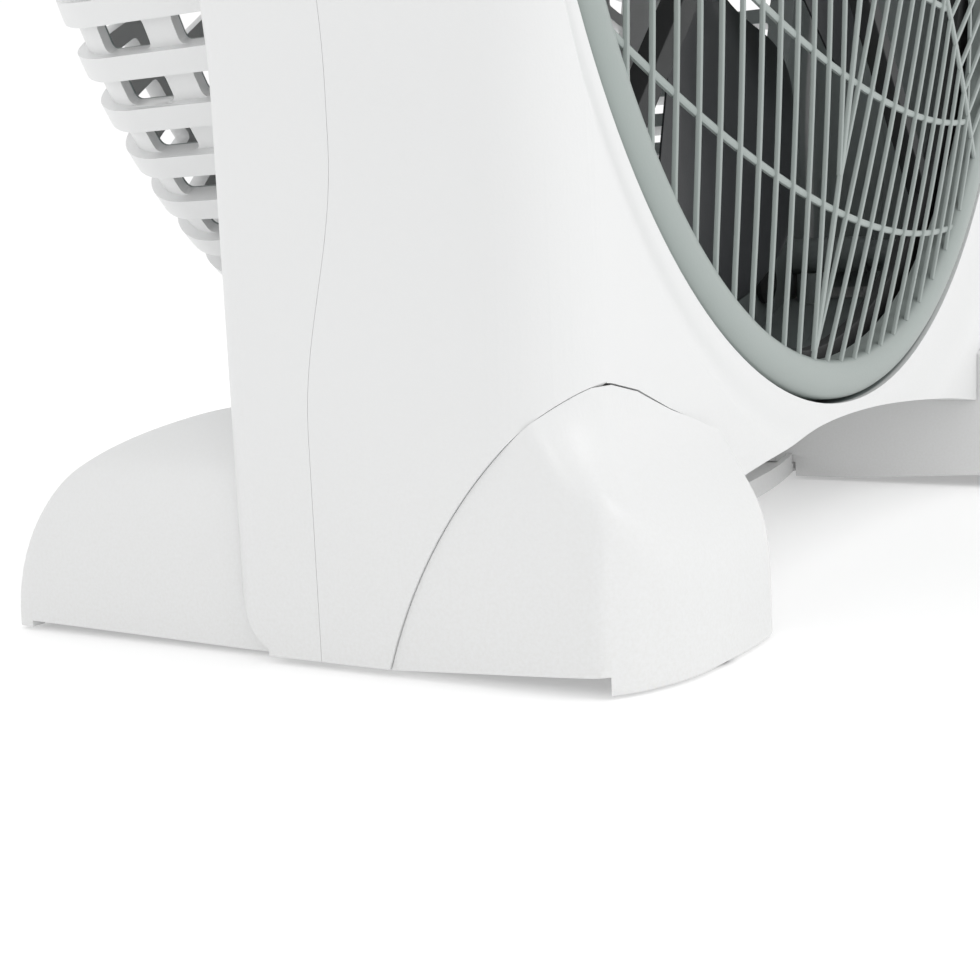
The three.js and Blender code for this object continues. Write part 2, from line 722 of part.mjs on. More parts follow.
// ---- fan and motor ----
function fanBlade() {
  const front = BLADE_FRONT;
  const r = BLADE_HUB_R;
  const boss = BORE_R + 4.7;
  const hub = turned([
    [BORE_R, front + 2], [r - 5, front + 1], [r, front + 6], [r, 0], [r - 2.5, 0],
    [r - 2.5, front + 9], [r - 7, front + 4], [boss, front + 5], [boss, 2],
    [BORE_R, 2], [BORE_R, front + 2],
  ], 20);
  const parts = [hub];
  for (let i = 0; i < BLADES; i += 1) {
    parts.push(turnedRing(oneBlade(), TAU * i / BLADES));
  }
  return wasm.Manifold.union(parts);
}

// One twisted blade with a rounded tip, made from a grid of two skins.
function oneBlade() {
  const along = 5;
  const across = 4;
  const thick = 2;
  const root = BLADE_HUB_R - 1.5;
  const grid = [];
  for (let i = 0; i <= along; i += 1) {
    const u = i / along;
    const r = root + (BLADE_R - root) * Math.sin(u * Math.PI / 2);
    const grow = 0.36 + 0.14 * Math.sin(u * Math.PI);
    const tip = Math.sqrt(Math.max(0.12, 1 - u ** 5));
    const pitch = (38 - 20 * u) * Math.PI / 180;
    const sweep = 0.22 * u * u;
    for (let j = 0; j <= across; j += 1) {
      const v = (j / across - 0.5) * 2;
      const chord = v * grow * tip * (26 + 62 * u);
      const camber = 4 * (1 - v * v);
      const arc = chord * Math.cos(pitch) * 1.9;
      const a = sweep + arc / (26 + 0.86 * r);
      const y = BLADE_FRONT + 17 + chord * Math.sin(pitch) * 0.9 - camber;
      grid.push([r * Math.cos(a), y, AXIS_Z + r * Math.sin(a)]);
    }
  }
  const count = grid.length;
  const positions = [];
  for (const [x, y, z] of grid) positions.push(x, y - thick / 2, z);
  for (const [x, y, z] of grid) positions.push(x, y + thick / 2, z);
  const faces = [];
  const at = (i, j) => i * (across + 1) + j;
  const quad = (a, b, c, d) => faces.push(a, b, c, a, c, d);
  for (let i = 0; i < along; i += 1) {
    for (let j = 0; j < across; j += 1) {
      quad(at(i, j), at(i + 1, j), at(i + 1, j + 1), at(i, j + 1));
      quad(count + at(i, j), count + at(i, j + 1), count + at(i + 1, j + 1), count + at(i + 1, j));
    }
  }
  for (let i = 0; i < along; i += 1) {
    quad(at(i + 1, 0), at(i, 0), count + at(i, 0), count + at(i + 1, 0));
    quad(at(i, across), at(i + 1, across), count + at(i + 1, across), count + at(i, across));
  }
  for (let j = 0; j < across; j += 1) {
    quad(at(0, j), at(0, j + 1), count + at(0, j + 1), count + at(0, j));
    quad(at(along, j + 1), at(along, j), count + at(along, j), count + at(along, j + 1));
  }
  const g = new THREE.BufferGeometry();
  g.setAttribute("position", new THREE.Float32BufferAttribute(positions, 3));
  g.setIndex(faces);
  const body = solid(g);
  return body.volume() < 0 ? solid(flipped(g)) : body;
}

function bladeNut() {
  const back = BLADE_FRONT + 2 - GAP;
  const front = back - 7;
  return turned([
    [BORE_R, front], [6, front], [8, front + 2], [8, back - 2], [NUT_R, back - 1], [NUT_R, back],
    [BORE_R, back], [BORE_R, front],
  ], 12);
}

function motorShaft() {
  const front = BLADE_FRONT - 3;
  const back = MOTOR_BACK - 4;
  const tip = SHAFT_R - 0.6;
  return turned([[0, front], [tip, front], [SHAFT_R, front + 1], [SHAFT_R, back], [0, back]], 20);
}

function frontBell() {
  const end = MOTOR_FRONT;
  const meet = BELL_MEET - GAP / 2;
  const wall = MOTOR_R - BELL_T;
  const seat = BEARING_R + GAP;
  return turned([
    [BORE_R + 0.7, end], [15, end + 2], [MOTOR_R - 6, end + 3], [MOTOR_R, end + 9],
    [MOTOR_R, meet], [wall, meet], [wall, end + 10], [MOTOR_R - 7, end + 5.5],
    [seat + 2, end + 5.5], [seat + 2, end + 9], [seat, end + 9], [seat, end + 2],
    [BORE_R + 0.7, end + 2], [BORE_R + 0.7, end],
  ], 16);
}

function rearBell() {
  const end = MOTOR_BACK;
  const meet = BELL_MEET + GAP / 2;
  const wall = MOTOR_R - BELL_T;
  const seat = BEARING_R + GAP;
  const body = turned([
    [0, end], [MOTOR_R - 3, end], [MOTOR_R, end - 3], [MOTOR_R, meet], [wall, meet],
    [wall, end - 5], [seat + 2, end - 5], [seat + 2, end - 9], [seat, end - 9],
    [seat, end - 2], [0, end - 2],
  ], 16);
  const holes = DIAGONALS.map((angle) => {
    const [x, z] = ringPoint(MOTOR_SCREW_R, angle);
    return rod(PILOT_R, end - 10, end + 5, 8, x, z);
  });
  return without(body, holes);
}

// Iron ring with the winding's rounded ends.
function stator() {
  const out = MOTOR_R - BELL_T - GAP;
  const y0 = BELL_MEET - STACK_HALF;
  const y1 = BELL_MEET + STACK_HALF;
  return turned([
    [STACK_R, y0 - 1], [STACK_R + 4, COIL_FRONT], [STACK_R + 8, COIL_FRONT], [out, y0],
    [out, y1], [STACK_R + 8, COIL_BACK], [STACK_R + 4, COIL_BACK], [STACK_R, y1 + 1],
    [STACK_R, y0 - 1],
  ], 16);
}

function rotor() {
  const y0 = BELL_MEET - STACK_HALF;
  const y1 = BELL_MEET + STACK_HALF;
  const out = STACK_R - 0.5;
  return turned([
    [BORE_R, y0 - 3], [10, y0 - 3], [12, y0], [out, y0], [out, y1], [12, y1], [10, y1 + 3],
    [BORE_R, y1 + 3], [BORE_R, y0 - 3],
  ], 16);
}

function bearing(y0) {
  const y1 = y0 + BEARING_T;
  return turned([[BORE_R, y0], [BEARING_R, y0], [BEARING_R, y1], [BORE_R, y1], [BORE_R, y0]], 16);
}

// ---- screws ----
// Head and shank as radius and depth below the head's outer face.
function screwProfile(length) {
  return [
    [0, 0], [HEAD_R - 0.8, 0], [HEAD_R, 0.8], [HEAD_R, HEAD_H], [SCREW_R, HEAD_H], [SCREW_R, length],
    [0, length],
  ];
}

// Screw along Y with its head toward the rear.
function screwY(x, z, headY, length) {
  return turned(screwProfile(length).map(([r, depth]) => [r, headY - depth]), 8, x, z);
}

// Screw along Z with its head at the bottom.
function screwZ(x, y, headZ, length) {
  return upright(screwProfile(length).map(([r, depth]) => [r, headZ + depth]), 8, x, y);
}

// ---- feet ----
// Outline of the right foot from above, moved inwards by inset.
function footPlan(inset) {
  const toe = TOE_Y + inset;
  const heel = HEEL_Y - inset;
  const inner = FOOT_IN + inset;
  const outer = FOOT_OUT - inset;
  return [
    [inner, toe + 3.5], [inner + 5, toe + 1], [FOOT_IN + 18, toe], [outer - 19, toe + 1.6],
    [outer - 7, toe + 6], [outer, toe + 12], [outer, heel - 2], [outer - 3, heel], [inner, heel],
  ];
}

// Outline from the side: a full toe and an elliptic heel.
function footSide(inset) {
  const height = FOOT_H - inset;
  const steps = 6;
  const quarter = (length, power, i) => {
    const a = Math.PI / 2 * i / steps;
    return [FOOT_MID_Y + length * Math.cos(a) ** power, height * Math.sin(a) ** power];
  };
  const points = [];
  for (let i = 0; i <= steps; i += 1) points.push(quarter(inset - TOE_LEN, 2 / 3, i));
  for (let i = steps - 1; i >= 0; i -= 1) points.push(quarter(HEEL_LEN - inset, 0.93, i));
  const low = -15;
  return [[TOE_Y + inset, low], ...points, [HEEL_Y - inset, low]];
}

// Outline from the front, with a low rounded inner edge and a large outer one.
function footFront(inset) {
  const inner = FOOT_IN + inset;
  const outer = FOOT_OUT - inset;
  const top = FOOT_H - 1 - inset;
  return [
    [inner, -10], [inner, top - 12], [inner + 3, top - 7.5], [FOOT_IN + 16, top - 2.5],
    [outer - 21, top], [outer - 13, top - 3], [outer - 6, top - 8.5], [outer - 1.5, top - 16],
    [outer, top - 23], [outer, -10],
  ];
}

function footShape(inset) {
  return prismZ(footPlan(inset), -20, 80)
    .intersect(prismX(footSide(inset).reverse(), FOOT_IN - 50, FOOT_OUT + 50))
    .intersect(prismY(footFront(inset).reverse(), TOE_Y - 50, HEEL_Y + 50));
}

// Upright flanges on the foot that close the pocket's openings at the front and the rear.
function footFlanges() {
  const side = FOOT_OUT;
  const inner = FOOT_IN + 0.2;
  const roof = pocketRoof(-2 * GAP).slice(1);
  const points = [[inner, 30], [inner, POCKET_Z - 10 - GAP], ...roof, [side, POCKET_Z - GAP], [side, 20]];
  const behind = 1.5;
  const shell = roundedBlock(behind, FACE_Y + behind, BACK_Y - behind, BACK_EDGE_R - behind)
    .subtract(block(0, FOOT_OUT - FOOT_WALL, FACE_Y + 5, BACK_Y - 4, -10, 90));
  const frontCorner = roundedBlock(behind, FACE_Y + behind, 60, FRONT_EDGE_R - behind);
  return prismY(points.reverse(), FACE_Y, BACK_Y).intersect(shell).intersect(frontCorner);
}

function foot(sign) {
  const room = footShape(FOOT_WALL);
  const core = footShape(1);
  let body = footShape(0).add(footFlanges().subtract(room)).subtract(room);
  for (const y of PAD_Y) {
    body = body.add(post(PAD_R + 2.5, FOOT_BASE, 12, 14, PAD_X, y).intersect(core));
    body = body.subtract(post(PAD_R + GAP, -5, PAD_T + GAP, 14, PAD_X, y));
    body = body.subtract(post(PAD_PIN_R + GAP, -5, PAD_PIN_TOP + 1, 8, PAD_X, y));
  }
  body = body.add(post(5, STEP_MID_Z, 60, 8, BRIDGE_SCREW_X, FOOT_MID_Y).intersect(core));
  for (const y of FOOT_SCREW_Y) {
    body = body.add(post(6.5, FOOT_SEAT_Z - 4, 60, 8, FOOT_SCREW_X, y).intersect(core));
    body = body.add(post(6, FOOT_SEAT_Z + 1, POCKET_Z - GAP, 10, FOOT_SCREW_X, y));
    body = body.subtract(post(PILOT_R, 30, 80, 8, FOOT_SCREW_X, y));
    body = body.subtract(post(HEAD_R + 1, 10, FOOT_SEAT_Z, 12, FOOT_SCREW_X, y));
  }
  body = body.subtract(post(PILOT_R, -5, 18, 8, BRIDGE_SCREW_X, FOOT_MID_Y));
  const tab = BRIDGE_TAB_HALF + 1;
  const low = -100;
  body = body.subtract(
    block(FOOT_IN - 10, BRIDGE_TAB + GAP, FOOT_MID_Y - tab, FOOT_MID_Y + tab, -5, BRIDGE_Z1 + GAP),
  );
  body = body.subtract(block(0, 300, -300, 300, low, FOOT_BASE));
  body = body.subtract(prismX([
    [STEP_FRONT, low], [STEP_REAR, low], [STEP_REAR, STEP_REAR_Z], [BACK_Y, STEP_MID_Z],
    [ARCH_LOW_Y, STEP_MID_Z], [STEP_FRONT, STEP_FRONT_Z],
  ], 0, 300));
  return sign > 0 ? body : body.mirror([1, 0, 0]);
}

function footPad(sign, y) {
  return upright([
    [0, 0], [PAD_R - 0.5, 0], [PAD_R, 0.5], [PAD_R, PAD_T], [PAD_PIN_R, PAD_T],
    [PAD_PIN_R, PAD_PIN_TOP], [0, PAD_PIN_TOP],
  ], 10, sign * PAD_X, y);
}

// Waisted plate between the feet, with raised rims and a screwed tab at each end.
function baseBridge() {
  const reach = FOOT_IN - GAP;
  const rim = 2;
  const edge = (x, out) => FOOT_MID_Y + out * (BRIDGE_HALF - BRIDGE_WAIST * (x / reach) ** 2);
  const line = (out, shrink) => {
    const points = [];
    const steps = 10;
    for (let i = 0; i <= steps; i += 1) {
      const x = -reach + 2 * reach * i / steps;
      points.push([x, edge(x, out) - out * shrink]);
    }
    return points;
  };
  const plate = prismZ(line(-1, 0).concat(line(1, 0).reverse()), BRIDGE_Z0, BRIDGE_Z1);
  const rims = [
    line(-1, 0).concat(line(-1, rim).reverse()),
    line(1, rim).concat(line(1, 0).reverse()),
  ].map((points) => prismZ(points, BRIDGE_Z0, BRIDGE_Z1 + BRIDGE_RIM));
  let body = joined([plate, ...rims]);
  for (const sign of [-1, 1]) {
    const x0 = sign > 0 ? reach - 3 : -BRIDGE_TAB;
    const x1 = sign > 0 ? BRIDGE_TAB : 3 - reach;
    const y0 = FOOT_MID_Y - BRIDGE_TAB_HALF;
    body = body.add(block(x0, x1, y0, y0 + 2 * BRIDGE_TAB_HALF, BRIDGE_Z0, BRIDGE_Z1));
    body = body.subtract(post(PILOT_R, -5, 18, 8, sign * BRIDGE_SCREW_X, FOOT_MID_Y));
  }
  return body;
}

// ---- controls ----
function controlPanel() {
  const low = PANEL_LOW - 5;
  const high = PANEL_TOP + 5;
  const hx = ROCKER_HALF + 0.8;
  const hy = ROCKER_HALF_Y + GAP;
  const holes = [SPEED_X, TIMER_X].map((x) => post(STEM_R + GAP, low, high, 16, x, CONTROL_Y));
  holes.push(block(ROCKER_X - hx, ROCKER_X + hx, CONTROL_Y - hy, CONTROL_Y + hy, low, high));
  return without(block(-PANEL_HALF, PANEL_HALF, PANEL_Y0, PANEL_Y1, PANEL_LOW, PANEL_TOP), holes);
}

// Knob with a grip bar across its top and a stem that reaches into the switch below.
function knob(x) {
  const z = PANEL_TOP + GAP;
  const top = z + KNOB_H;
  const base = upright([
    [0, z], [KNOB_R, z], [KNOB_R, z + 3], [KNOB_R - 1.5, z + 4], [KNOB_R - 2, z + 5], [0, z + 5],
  ], 18, x, CONTROL_Y);
  const reach = KNOB_R - 2;
  const bar = prismX([
    [CONTROL_Y - reach, z + 4], [CONTROL_Y + reach, z + 4], [CONTROL_Y + reach - 1, top - 1],
    [CONTROL_Y + reach - 3, top], [CONTROL_Y + 3 - reach, top], [CONTROL_Y + 1 - reach, top - 1],
  ], x - 2.6, x + 2.6);
  return base.add(bar).add(post(STEM_R, STEM_LOW, z + 1, 10, x, CONTROL_Y));
}

function switchBody(x, halfX, depth) {
  const top = PANEL_LOW - GAP;
  const half = 7.5;
  const body = block(x - halfX, x + halfX, CONTROL_Y - half, CONTROL_Y + half, top - depth, top);
  return body.subtract(post(STEM_R + GAP, STEM_LOW - GAP, top + 5, 16, x, CONTROL_Y));
}

function rocker() {
  const z = PANEL_TOP;
  const half = ROCKER_HALF;
  return prismY([
    [ROCKER_X - half, z + 1.8], [ROCKER_X - half, z - 2.2], [ROCKER_X - 4, z - 6], [ROCKER_X + 4, z - 6],
    [ROCKER_X + half, z - 2.2], [ROCKER_X + half, z + 1.8], [ROCKER_X, z + 0.6],
  ], CONTROL_Y - ROCKER_HALF_Y, CONTROL_Y + ROCKER_HALF_Y);
}

function rockerBody() {
  const top = PANEL_LOW - GAP;
  const hx = ROCKER_HALF + 1;
  const hy = ROCKER_HALF_Y + GAP;
  const wall = 2;
  const room = block(ROCKER_X - hx, ROCKER_X + hx, CONTROL_Y - hy, CONTROL_Y + hy, top - 7, top + 5);
  const box = block(
    ROCKER_X - hx - wall, ROCKER_X + hx + wall, CONTROL_Y - hy - wall, CONTROL_Y + hy + wall,
    top - 12, top,
  );
  return box.subtract(room);
}

function inletBush() {
  const inside = BACK_Y - WALL;
  const bore = INLET_R - 2;
  const lip = INLET_R + 2;
  return turned([
    [bore, inside - 3], [lip, inside - 2.3], [lip, inside - GAP], [INLET_R, inside - GAP],
    [INLET_R, BACK_Y + GAP], [lip + 1, BACK_Y + GAP], [lip + 1, BACK_Y + 1.5], [lip - 1, BACK_Y + 2.5],
    [bore, BACK_Y + 2.5], [bore, inside - 3],
  ], 14, INLET_X, INLET_Z);
}

// ---- assembly ----
piece("front_shell", frontShell(), whiteShell);
piece("rear_shell", rearShell(), whiteShell);
piece("rear_cage", rearCage(), whiteShell);
piece("front_grille", frontGrille(), greyGrille, AXIS);
piece("grille_cap", grilleCap(), greyGrille, AXIS);
piece("grille_shaft", grilleShaft(), steel, AXIS);
piece("grille_motor", grilleMotor(), motorPaint);
piece("front_spider", frontSpider(), darkPlastic);
piece("fan_blade", fanBlade(), darkFan, AXIS);
piece("blade_nut", bladeNut(), darkPlastic, AXIS);
piece("motor_shaft", motorShaft(), steel, AXIS);
piece("rotor", rotor(), steel, AXIS);
piece("stator", stator(), copper);
piece("motor_front_bell", frontBell(), motorPaint);
piece("motor_rear_bell", rearBell(), motorPaint);
piece("bearing_front", bearing(MOTOR_FRONT + 2 + GAP), steel);
piece("bearing_rear", bearing(MOTOR_BACK - 2 - GAP - BEARING_T), steel);
const sunkHead = SINK - GAP - HEAD_H;
DIAGONALS.forEach((angle, i) => {
  const [x, z] = ringPoint(MOTOR_SCREW_R, angle);
  piece(`motor_screw_${i + 1}`, screwY(x, z, CAGE_BACK - sunkHead, CAGE_BACK - MOTOR_BACK + 4.5), steel);
});
HOUSING_SCREWS.forEach(([x, z], i) => {
  piece(`housing_screw_${i + 1}`, screwY(x, z, BACK_Y - sunkHead, HOUSING_SCREW_L), steel);
});
DIAGONALS.forEach((angle, i) => {
  const [x, z] = ringPoint(SPIDER_SCREW_R, angle);
  const seat = SPIDER_Y + SPIDER_T - 1 + GAP;
  piece(`spider_screw_${i + 1}`, screwY(x, z, seat + HEAD_H, SPIDER_SCREW_L), steel);
});
[["left", -1], ["right", 1]].forEach(([side, sign]) => {
  piece(`foot_${side}`, foot(sign), whiteShell);
  piece(`foot_pad_front_${side}`, footPad(sign, PAD_Y[0]), rubber);
  piece(`foot_pad_rear_${side}`, footPad(sign, PAD_Y[1]), rubber);
  const head = FOOT_SEAT_Z - GAP - HEAD_H;
  ["front", "rear"].forEach((end, i) => {
    const shape = screwZ(sign * FOOT_SCREW_X, FOOT_SCREW_Y[i], head, FOOT_SCREW_L);
    piece(`foot_screw_${end}_${side}`, shape, steel);
  });
  const low = BRIDGE_Z0 - GAP - HEAD_H;
  piece(`bridge_screw_${side}`, screwZ(sign * BRIDGE_SCREW_X, FOOT_MID_Y, low, BRIDGE_SCREW_L), steel);
});
piece("base_bridge", baseBridge(), whiteShell);
piece("control_panel", controlPanel(), greyGrille);
piece("speed_knob", knob(SPEED_X), whiteShell, [SPEED_X, CONTROL_Y, PANEL_TOP]);
piece("timer_knob", knob(TIMER_X), whiteShell, [TIMER_X, CONTROL_Y, PANEL_TOP]);
piece("grille_rocker", rocker(), whiteShell, [ROCKER_X, CONTROL_Y, PANEL_TOP - 2]);
piece("speed_switch", switchBody(SPEED_X, SWITCH_HALF, SWITCH_DEPTH), darkPlastic);
piece("timer_body", switchBody(TIMER_X, TIMER_HALF, TIMER_DEPTH), darkPlastic);
piece("rocker_body", rockerBody(), darkPlastic);
piece("inlet_bush", inletBush(), darkPlastic);

export default group;
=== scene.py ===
import math

import bmesh
import bpy
import numpy as np
from mathutils import Matrix, Vector


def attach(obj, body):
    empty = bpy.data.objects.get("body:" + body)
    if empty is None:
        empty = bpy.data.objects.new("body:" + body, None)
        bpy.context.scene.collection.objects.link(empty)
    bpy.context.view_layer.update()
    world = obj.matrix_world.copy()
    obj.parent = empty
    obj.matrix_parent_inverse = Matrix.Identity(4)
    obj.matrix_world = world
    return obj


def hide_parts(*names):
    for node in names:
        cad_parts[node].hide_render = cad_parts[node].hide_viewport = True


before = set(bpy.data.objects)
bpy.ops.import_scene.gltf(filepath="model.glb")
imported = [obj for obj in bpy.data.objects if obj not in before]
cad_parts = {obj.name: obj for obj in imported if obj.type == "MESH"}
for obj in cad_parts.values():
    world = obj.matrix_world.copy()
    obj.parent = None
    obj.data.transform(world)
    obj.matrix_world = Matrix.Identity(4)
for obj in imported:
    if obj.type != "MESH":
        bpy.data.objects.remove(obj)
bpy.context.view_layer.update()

bl_info = {
    "name": "Box fan",
    "version": (1, 0, 0),
    "blender": (4, 5, 0),
    "location": "3D View > Sidebar > Box fan",
    "description": "Dresses the solids of a box fan with a turning grille",
    "category": "Object",
}

MM = 0.001
TAU = 2 * math.pi
AXIS = 198.0            # height of the fan's axis, in mm
FACE = -64.0            # front face of the housing
BACK = 15.0             # rear wall of the housing
WALL = 2.5
OPENING = 161.0         # radius of the opening in the front
PILOT = 2.1             # radius of a screw's hole
MOTOR_SCREWS = 33.0     # radius of the circle of the motor's screws
EARS = 169.0            # radius of the circle of the spider's ears
FOOT_SCREW_X = 141.0
FOOT_SCREW_YS = (-24.0, 4.0)
BRIDGE_X = 111.0        # screws of the bridge
BRIDGE_Y = 5.0
PAD_X = 126.0
PAD_YS = (-73.0, 71.0)
FOOT_MID = 5.0          # Y of the foot's highest part
FOOT_TOP = 51.0
POCKET_SIDE = 144.0     # outer side of the pocket over the foot
FLANK = 157.0           # outer side of the foot
TOE_FLANK = 159.4       # outer side of its toe
SPEED_X, TIMER_X, ROCKER_X = -48.0, 0.0, 46.0


# ---------------------------------------------------------------- mesh tools
def mesh_object(name, verts, faces):
    """A new object from points in millimetres, standing at the origin."""
    mesh = bpy.data.meshes.new(name)
    mesh.from_pydata([(x * MM, y * MM, z * MM) for x, y, z in verts], [], faces)
    mesh.update()
    bm = bmesh.new()
    bm.from_mesh(mesh)
    bmesh.ops.remove_doubles(bm, verts=bm.verts, dist=1e-7)
    bmesh.ops.recalc_face_normals(bm, faces=bm.faces)
    bm.to_mesh(mesh)
    bm.free()
    made = bpy.data.objects.new(name, mesh)
    bpy.context.scene.collection.objects.link(made)
    return made


def skinned(name, rings):
    """A closed body over rings of points, with a flat cap at each end."""
    count = len(rings[0])
    verts = [point for ring in rings for point in ring]
    last = len(verts)
    faces = [tuple(range(count)), tuple(range(last - 1, last - 1 - count, -1))]
    for a in range(0, last - count, count):
        b = a + count
        for k in range(count):
            m = (k + 1) % count
            faces.append((a + k, a + m, b + m, b + k))
    return mesh_object(name, verts, faces)


def prism(name, points, low, high, along="Y"):
    """Closed outline moved from low to high along one axis."""
    order = {
        "X": lambda p, d: (d, p[0], p[1]),
        "Y": lambda p, d: (p[0], d, p[1]),
        "Z": lambda p, d: (p[0], p[1], d),
    }[along]
    return skinned(name, [[order(p, d) for p in points] for d in (low, high)])


def block(name, low, high):
    """A box between two corners."""
    outline = [(low[0], low[1]), (high[0], low[1]), (high[0], high[1]), (low[0], high[1])]
    return prism(name, outline, low[2], high[2], "Z")


def turned(name, profile, segments, centre=(0.0, AXIS), upright=False, closed=False):
    """Turns a profile of (radius, place) round the fan's axis, or round an upright one."""
    verts = []
    faces = []
    count = len(profile)
    for i in range(segments):
        angle = TAU * i / segments
        c, s = math.cos(angle), math.sin(angle)
        for radius, place in profile:
            if upright:
                verts.append((centre[0] + radius * c, centre[1] + radius * s, place))
            else:
                verts.append((centre[0] + radius * c, place, centre[1] + radius * s))
    for i in range(segments):
        a = i * count
        b = ((i + 1) % segments) * count
        last = count if closed else count - 1
        for k in range(last):
            m = (k + 1) % count
            if profile[k][0] > 0 or profile[m][0] > 0:
                faces.append((a + k, a + m, b + m, b + k))
    return mesh_object(name, verts, faces)


def rounded(points, radius, steps=5):
    """Rounds the corners of a closed outline."""
    out = []
    count = len(points)
    for i, point in enumerate(points):
        here = Vector(point)
        before = Vector(points[i - 1]) - here
        after = Vector(points[(i + 1) % count]) - here
        turn = before.angle(after)
        cut = min(radius / math.tan(turn / 2), before.length * 0.49, after.length * 0.49)
        start = here + before.normalized() * cut
        end = here + after.normalized() * cut
        for k in range(steps + 1):
            t = k / steps
            p = start * (1 - t) ** 2 + here * 2 * t * (1 - t) + end * t * t
            out.append((p.x, p.y))
    return out


def evaluated(obj):
    """Replaces an object's mesh by what its modifiers make of it, and drops them."""
    bpy.context.view_layer.update()
    graph = bpy.context.evaluated_depsgraph_get()
    mesh = bpy.data.meshes.new_from_object(obj.evaluated_get(graph), depsgraph=graph)
    obj.modifiers.clear()
    old = obj.data
    obj.data = mesh
    if old.users == 0:
        bpy.data.meshes.remove(old)
    return obj


def boolean(body, tools, operation="DIFFERENCE"):
    """Cuts, joins or crosses closed bodies, one after the other, and removes the tools."""
    tools = tools if isinstance(tools, (list, tuple)) else [tools]
    for tool in tools:
        step = body.modifiers.new("step", "BOOLEAN")
        step.operation = operation
        step.solver = "MANIFOLD"
        step.object = tool
    before = len(body.data.polygons)
    evaluated(body)
    if before and not len(body.data.polygons):
        raise RuntimeError(body.name + ": a cut left nothing")
    for tool in tools:
        mesh = tool.data
        bpy.data.objects.remove(tool)
        bpy.data.meshes.remove(mesh)
    return body


def gathered(name, parts):
    """Several objects as one mesh, each part still a closed body."""
    bm = bmesh.new()
    for part in parts:
        bm.from_mesh(part.data)
    mesh = bpy.data.meshes.new(name)
    bm.to_mesh(mesh)
    bm.free()
    for part in parts:
        old = part.data
        bpy.data.objects.remove(part)
        bpy.data.meshes.remove(old)
    made = bpy.data.objects.new(name, mesh)
    bpy.context.scene.collection.objects.link(made)
    return made


def eased(obj, width=0.4, steps=2, limit=35.0):
    """Breaks the sharp edges a little and keeps flat faces flat."""
    bm = bmesh.new()
    bm.from_mesh(obj.data)
    bmesh.ops.remove_doubles(bm, verts=bm.verts, dist=2e-6)
    bmesh.ops.dissolve_limit(
        bm, angle_limit=math.radians(0.4), verts=bm.verts, edges=bm.edges)
    bm.to_mesh(obj.data)
    bm.free()
    if width:
        edge = obj.modifiers.new("edge", "BEVEL")
        edge.width = width * MM
        edge.segments = steps
        edge.limit_method = "ANGLE"
        edge.angle_limit = math.radians(limit)
        edge.use_clamp_overlap = True
        edge.harden_normals = False
        evaluated(obj)
    return smooth(obj)


def smooth(obj, limit=32.0):
    """Smooth shading with sharp edges past a limit, weighted by the faces' areas."""
    mesh = obj.data
    mesh.shade_smooth()
    mesh.set_sharp_from_angle(angle=math.radians(limit))
    weigh = obj.modifiers.new("weigh", "WEIGHTED_NORMAL")
    weigh.keep_sharp = True
    weigh.weight = 80
    return evaluated(obj)


# ---------------------------------------------------------------- repeats
def copies_tree(label):
    """Geometry Nodes: copies of one body round the fan's axis."""
    tree = bpy.data.node_groups.new(label, "GeometryNodeTree")
    face = tree.interface
    face.new_socket("Geometry", in_out="INPUT", socket_type="NodeSocketGeometry")
    for words, kind in (("Count", "NodeSocketInt"), ("Start angle", "NodeSocketFloat"),
                        ("Axis height", "NodeSocketFloat"), ("Finish", "NodeSocketMaterial")):
        face.new_socket(words, in_out="INPUT", socket_type=kind)
    face.new_socket("Geometry", in_out="OUTPUT", socket_type="NodeSocketGeometry")
    node = lambda kind: tree.nodes.new(kind)
    join = tree.links.new
    start = node("NodeGroupInput")
    end = node("NodeGroupOutput")
    points = node("GeometryNodePoints")
    join(start.outputs["Count"], points.inputs["Count"])
    place = node("ShaderNodeCombineXYZ")
    join(start.outputs["Axis height"], place.inputs["Z"])
    join(place.outputs[0], points.inputs["Position"])
    drop = node("ShaderNodeCombineXYZ")
    minus = node("ShaderNodeMath")
    minus.operation = "MULTIPLY"
    minus.inputs[1].default_value = -1.0
    join(start.outputs["Axis height"], minus.inputs[0])
    join(minus.outputs[0], drop.inputs["Z"])
    centred = node("GeometryNodeTransform")
    join(start.outputs["Geometry"], centred.inputs["Geometry"])
    join(drop.outputs[0], centred.inputs["Translation"])
    index = node("GeometryNodeInputIndex")
    share = node("ShaderNodeMath")
    share.operation = "DIVIDE"
    join(index.outputs[0], share.inputs[0])
    join(start.outputs["Count"], share.inputs[1])
    angle = node("ShaderNodeMath")
    angle.operation = "MULTIPLY_ADD"
    angle.inputs[1].default_value = -TAU
    join(share.outputs[0], angle.inputs[0])
    join(start.outputs["Start angle"], angle.inputs[2])
    turn = node("ShaderNodeCombineXYZ")
    join(angle.outputs[0], turn.inputs["Y"])
    spread = node("GeometryNodeInstanceOnPoints")
    join(points.outputs[0], spread.inputs["Points"])
    join(centred.outputs[0], spread.inputs["Instance"])
    join(turn.outputs[0], spread.inputs["Rotation"])
    real = node("GeometryNodeRealizeInstances")
    join(spread.outputs[0], real.inputs[0])
    paint = node("GeometryNodeSetMaterial")
    join(real.outputs[0], paint.inputs["Geometry"])
    join(start.outputs["Finish"], paint.inputs["Material"])
    join(paint.outputs[0], end.inputs[0])
    return tree


def around(obj, count, start=0.0, finish=None, label="Copies round the axis"):
    """Repeats an object round the fan's axis; start is in radians, positive towards +Z."""
    tree = bpy.data.node_groups.get(label) or copies_tree(label)
    step = obj.modifiers.new("copies", "NODES")
    step.node_group = tree
    values = {"Count": count, "Start angle": -start, "Axis height": AXIS * MM,
              "Finish": finish}
    for item in tree.interface.items_tree:
        if item.item_type == "SOCKET" and item.in_out == "INPUT" and item.name in values:
            step[item.identifier] = values[item.name]
    return evaluated(obj)


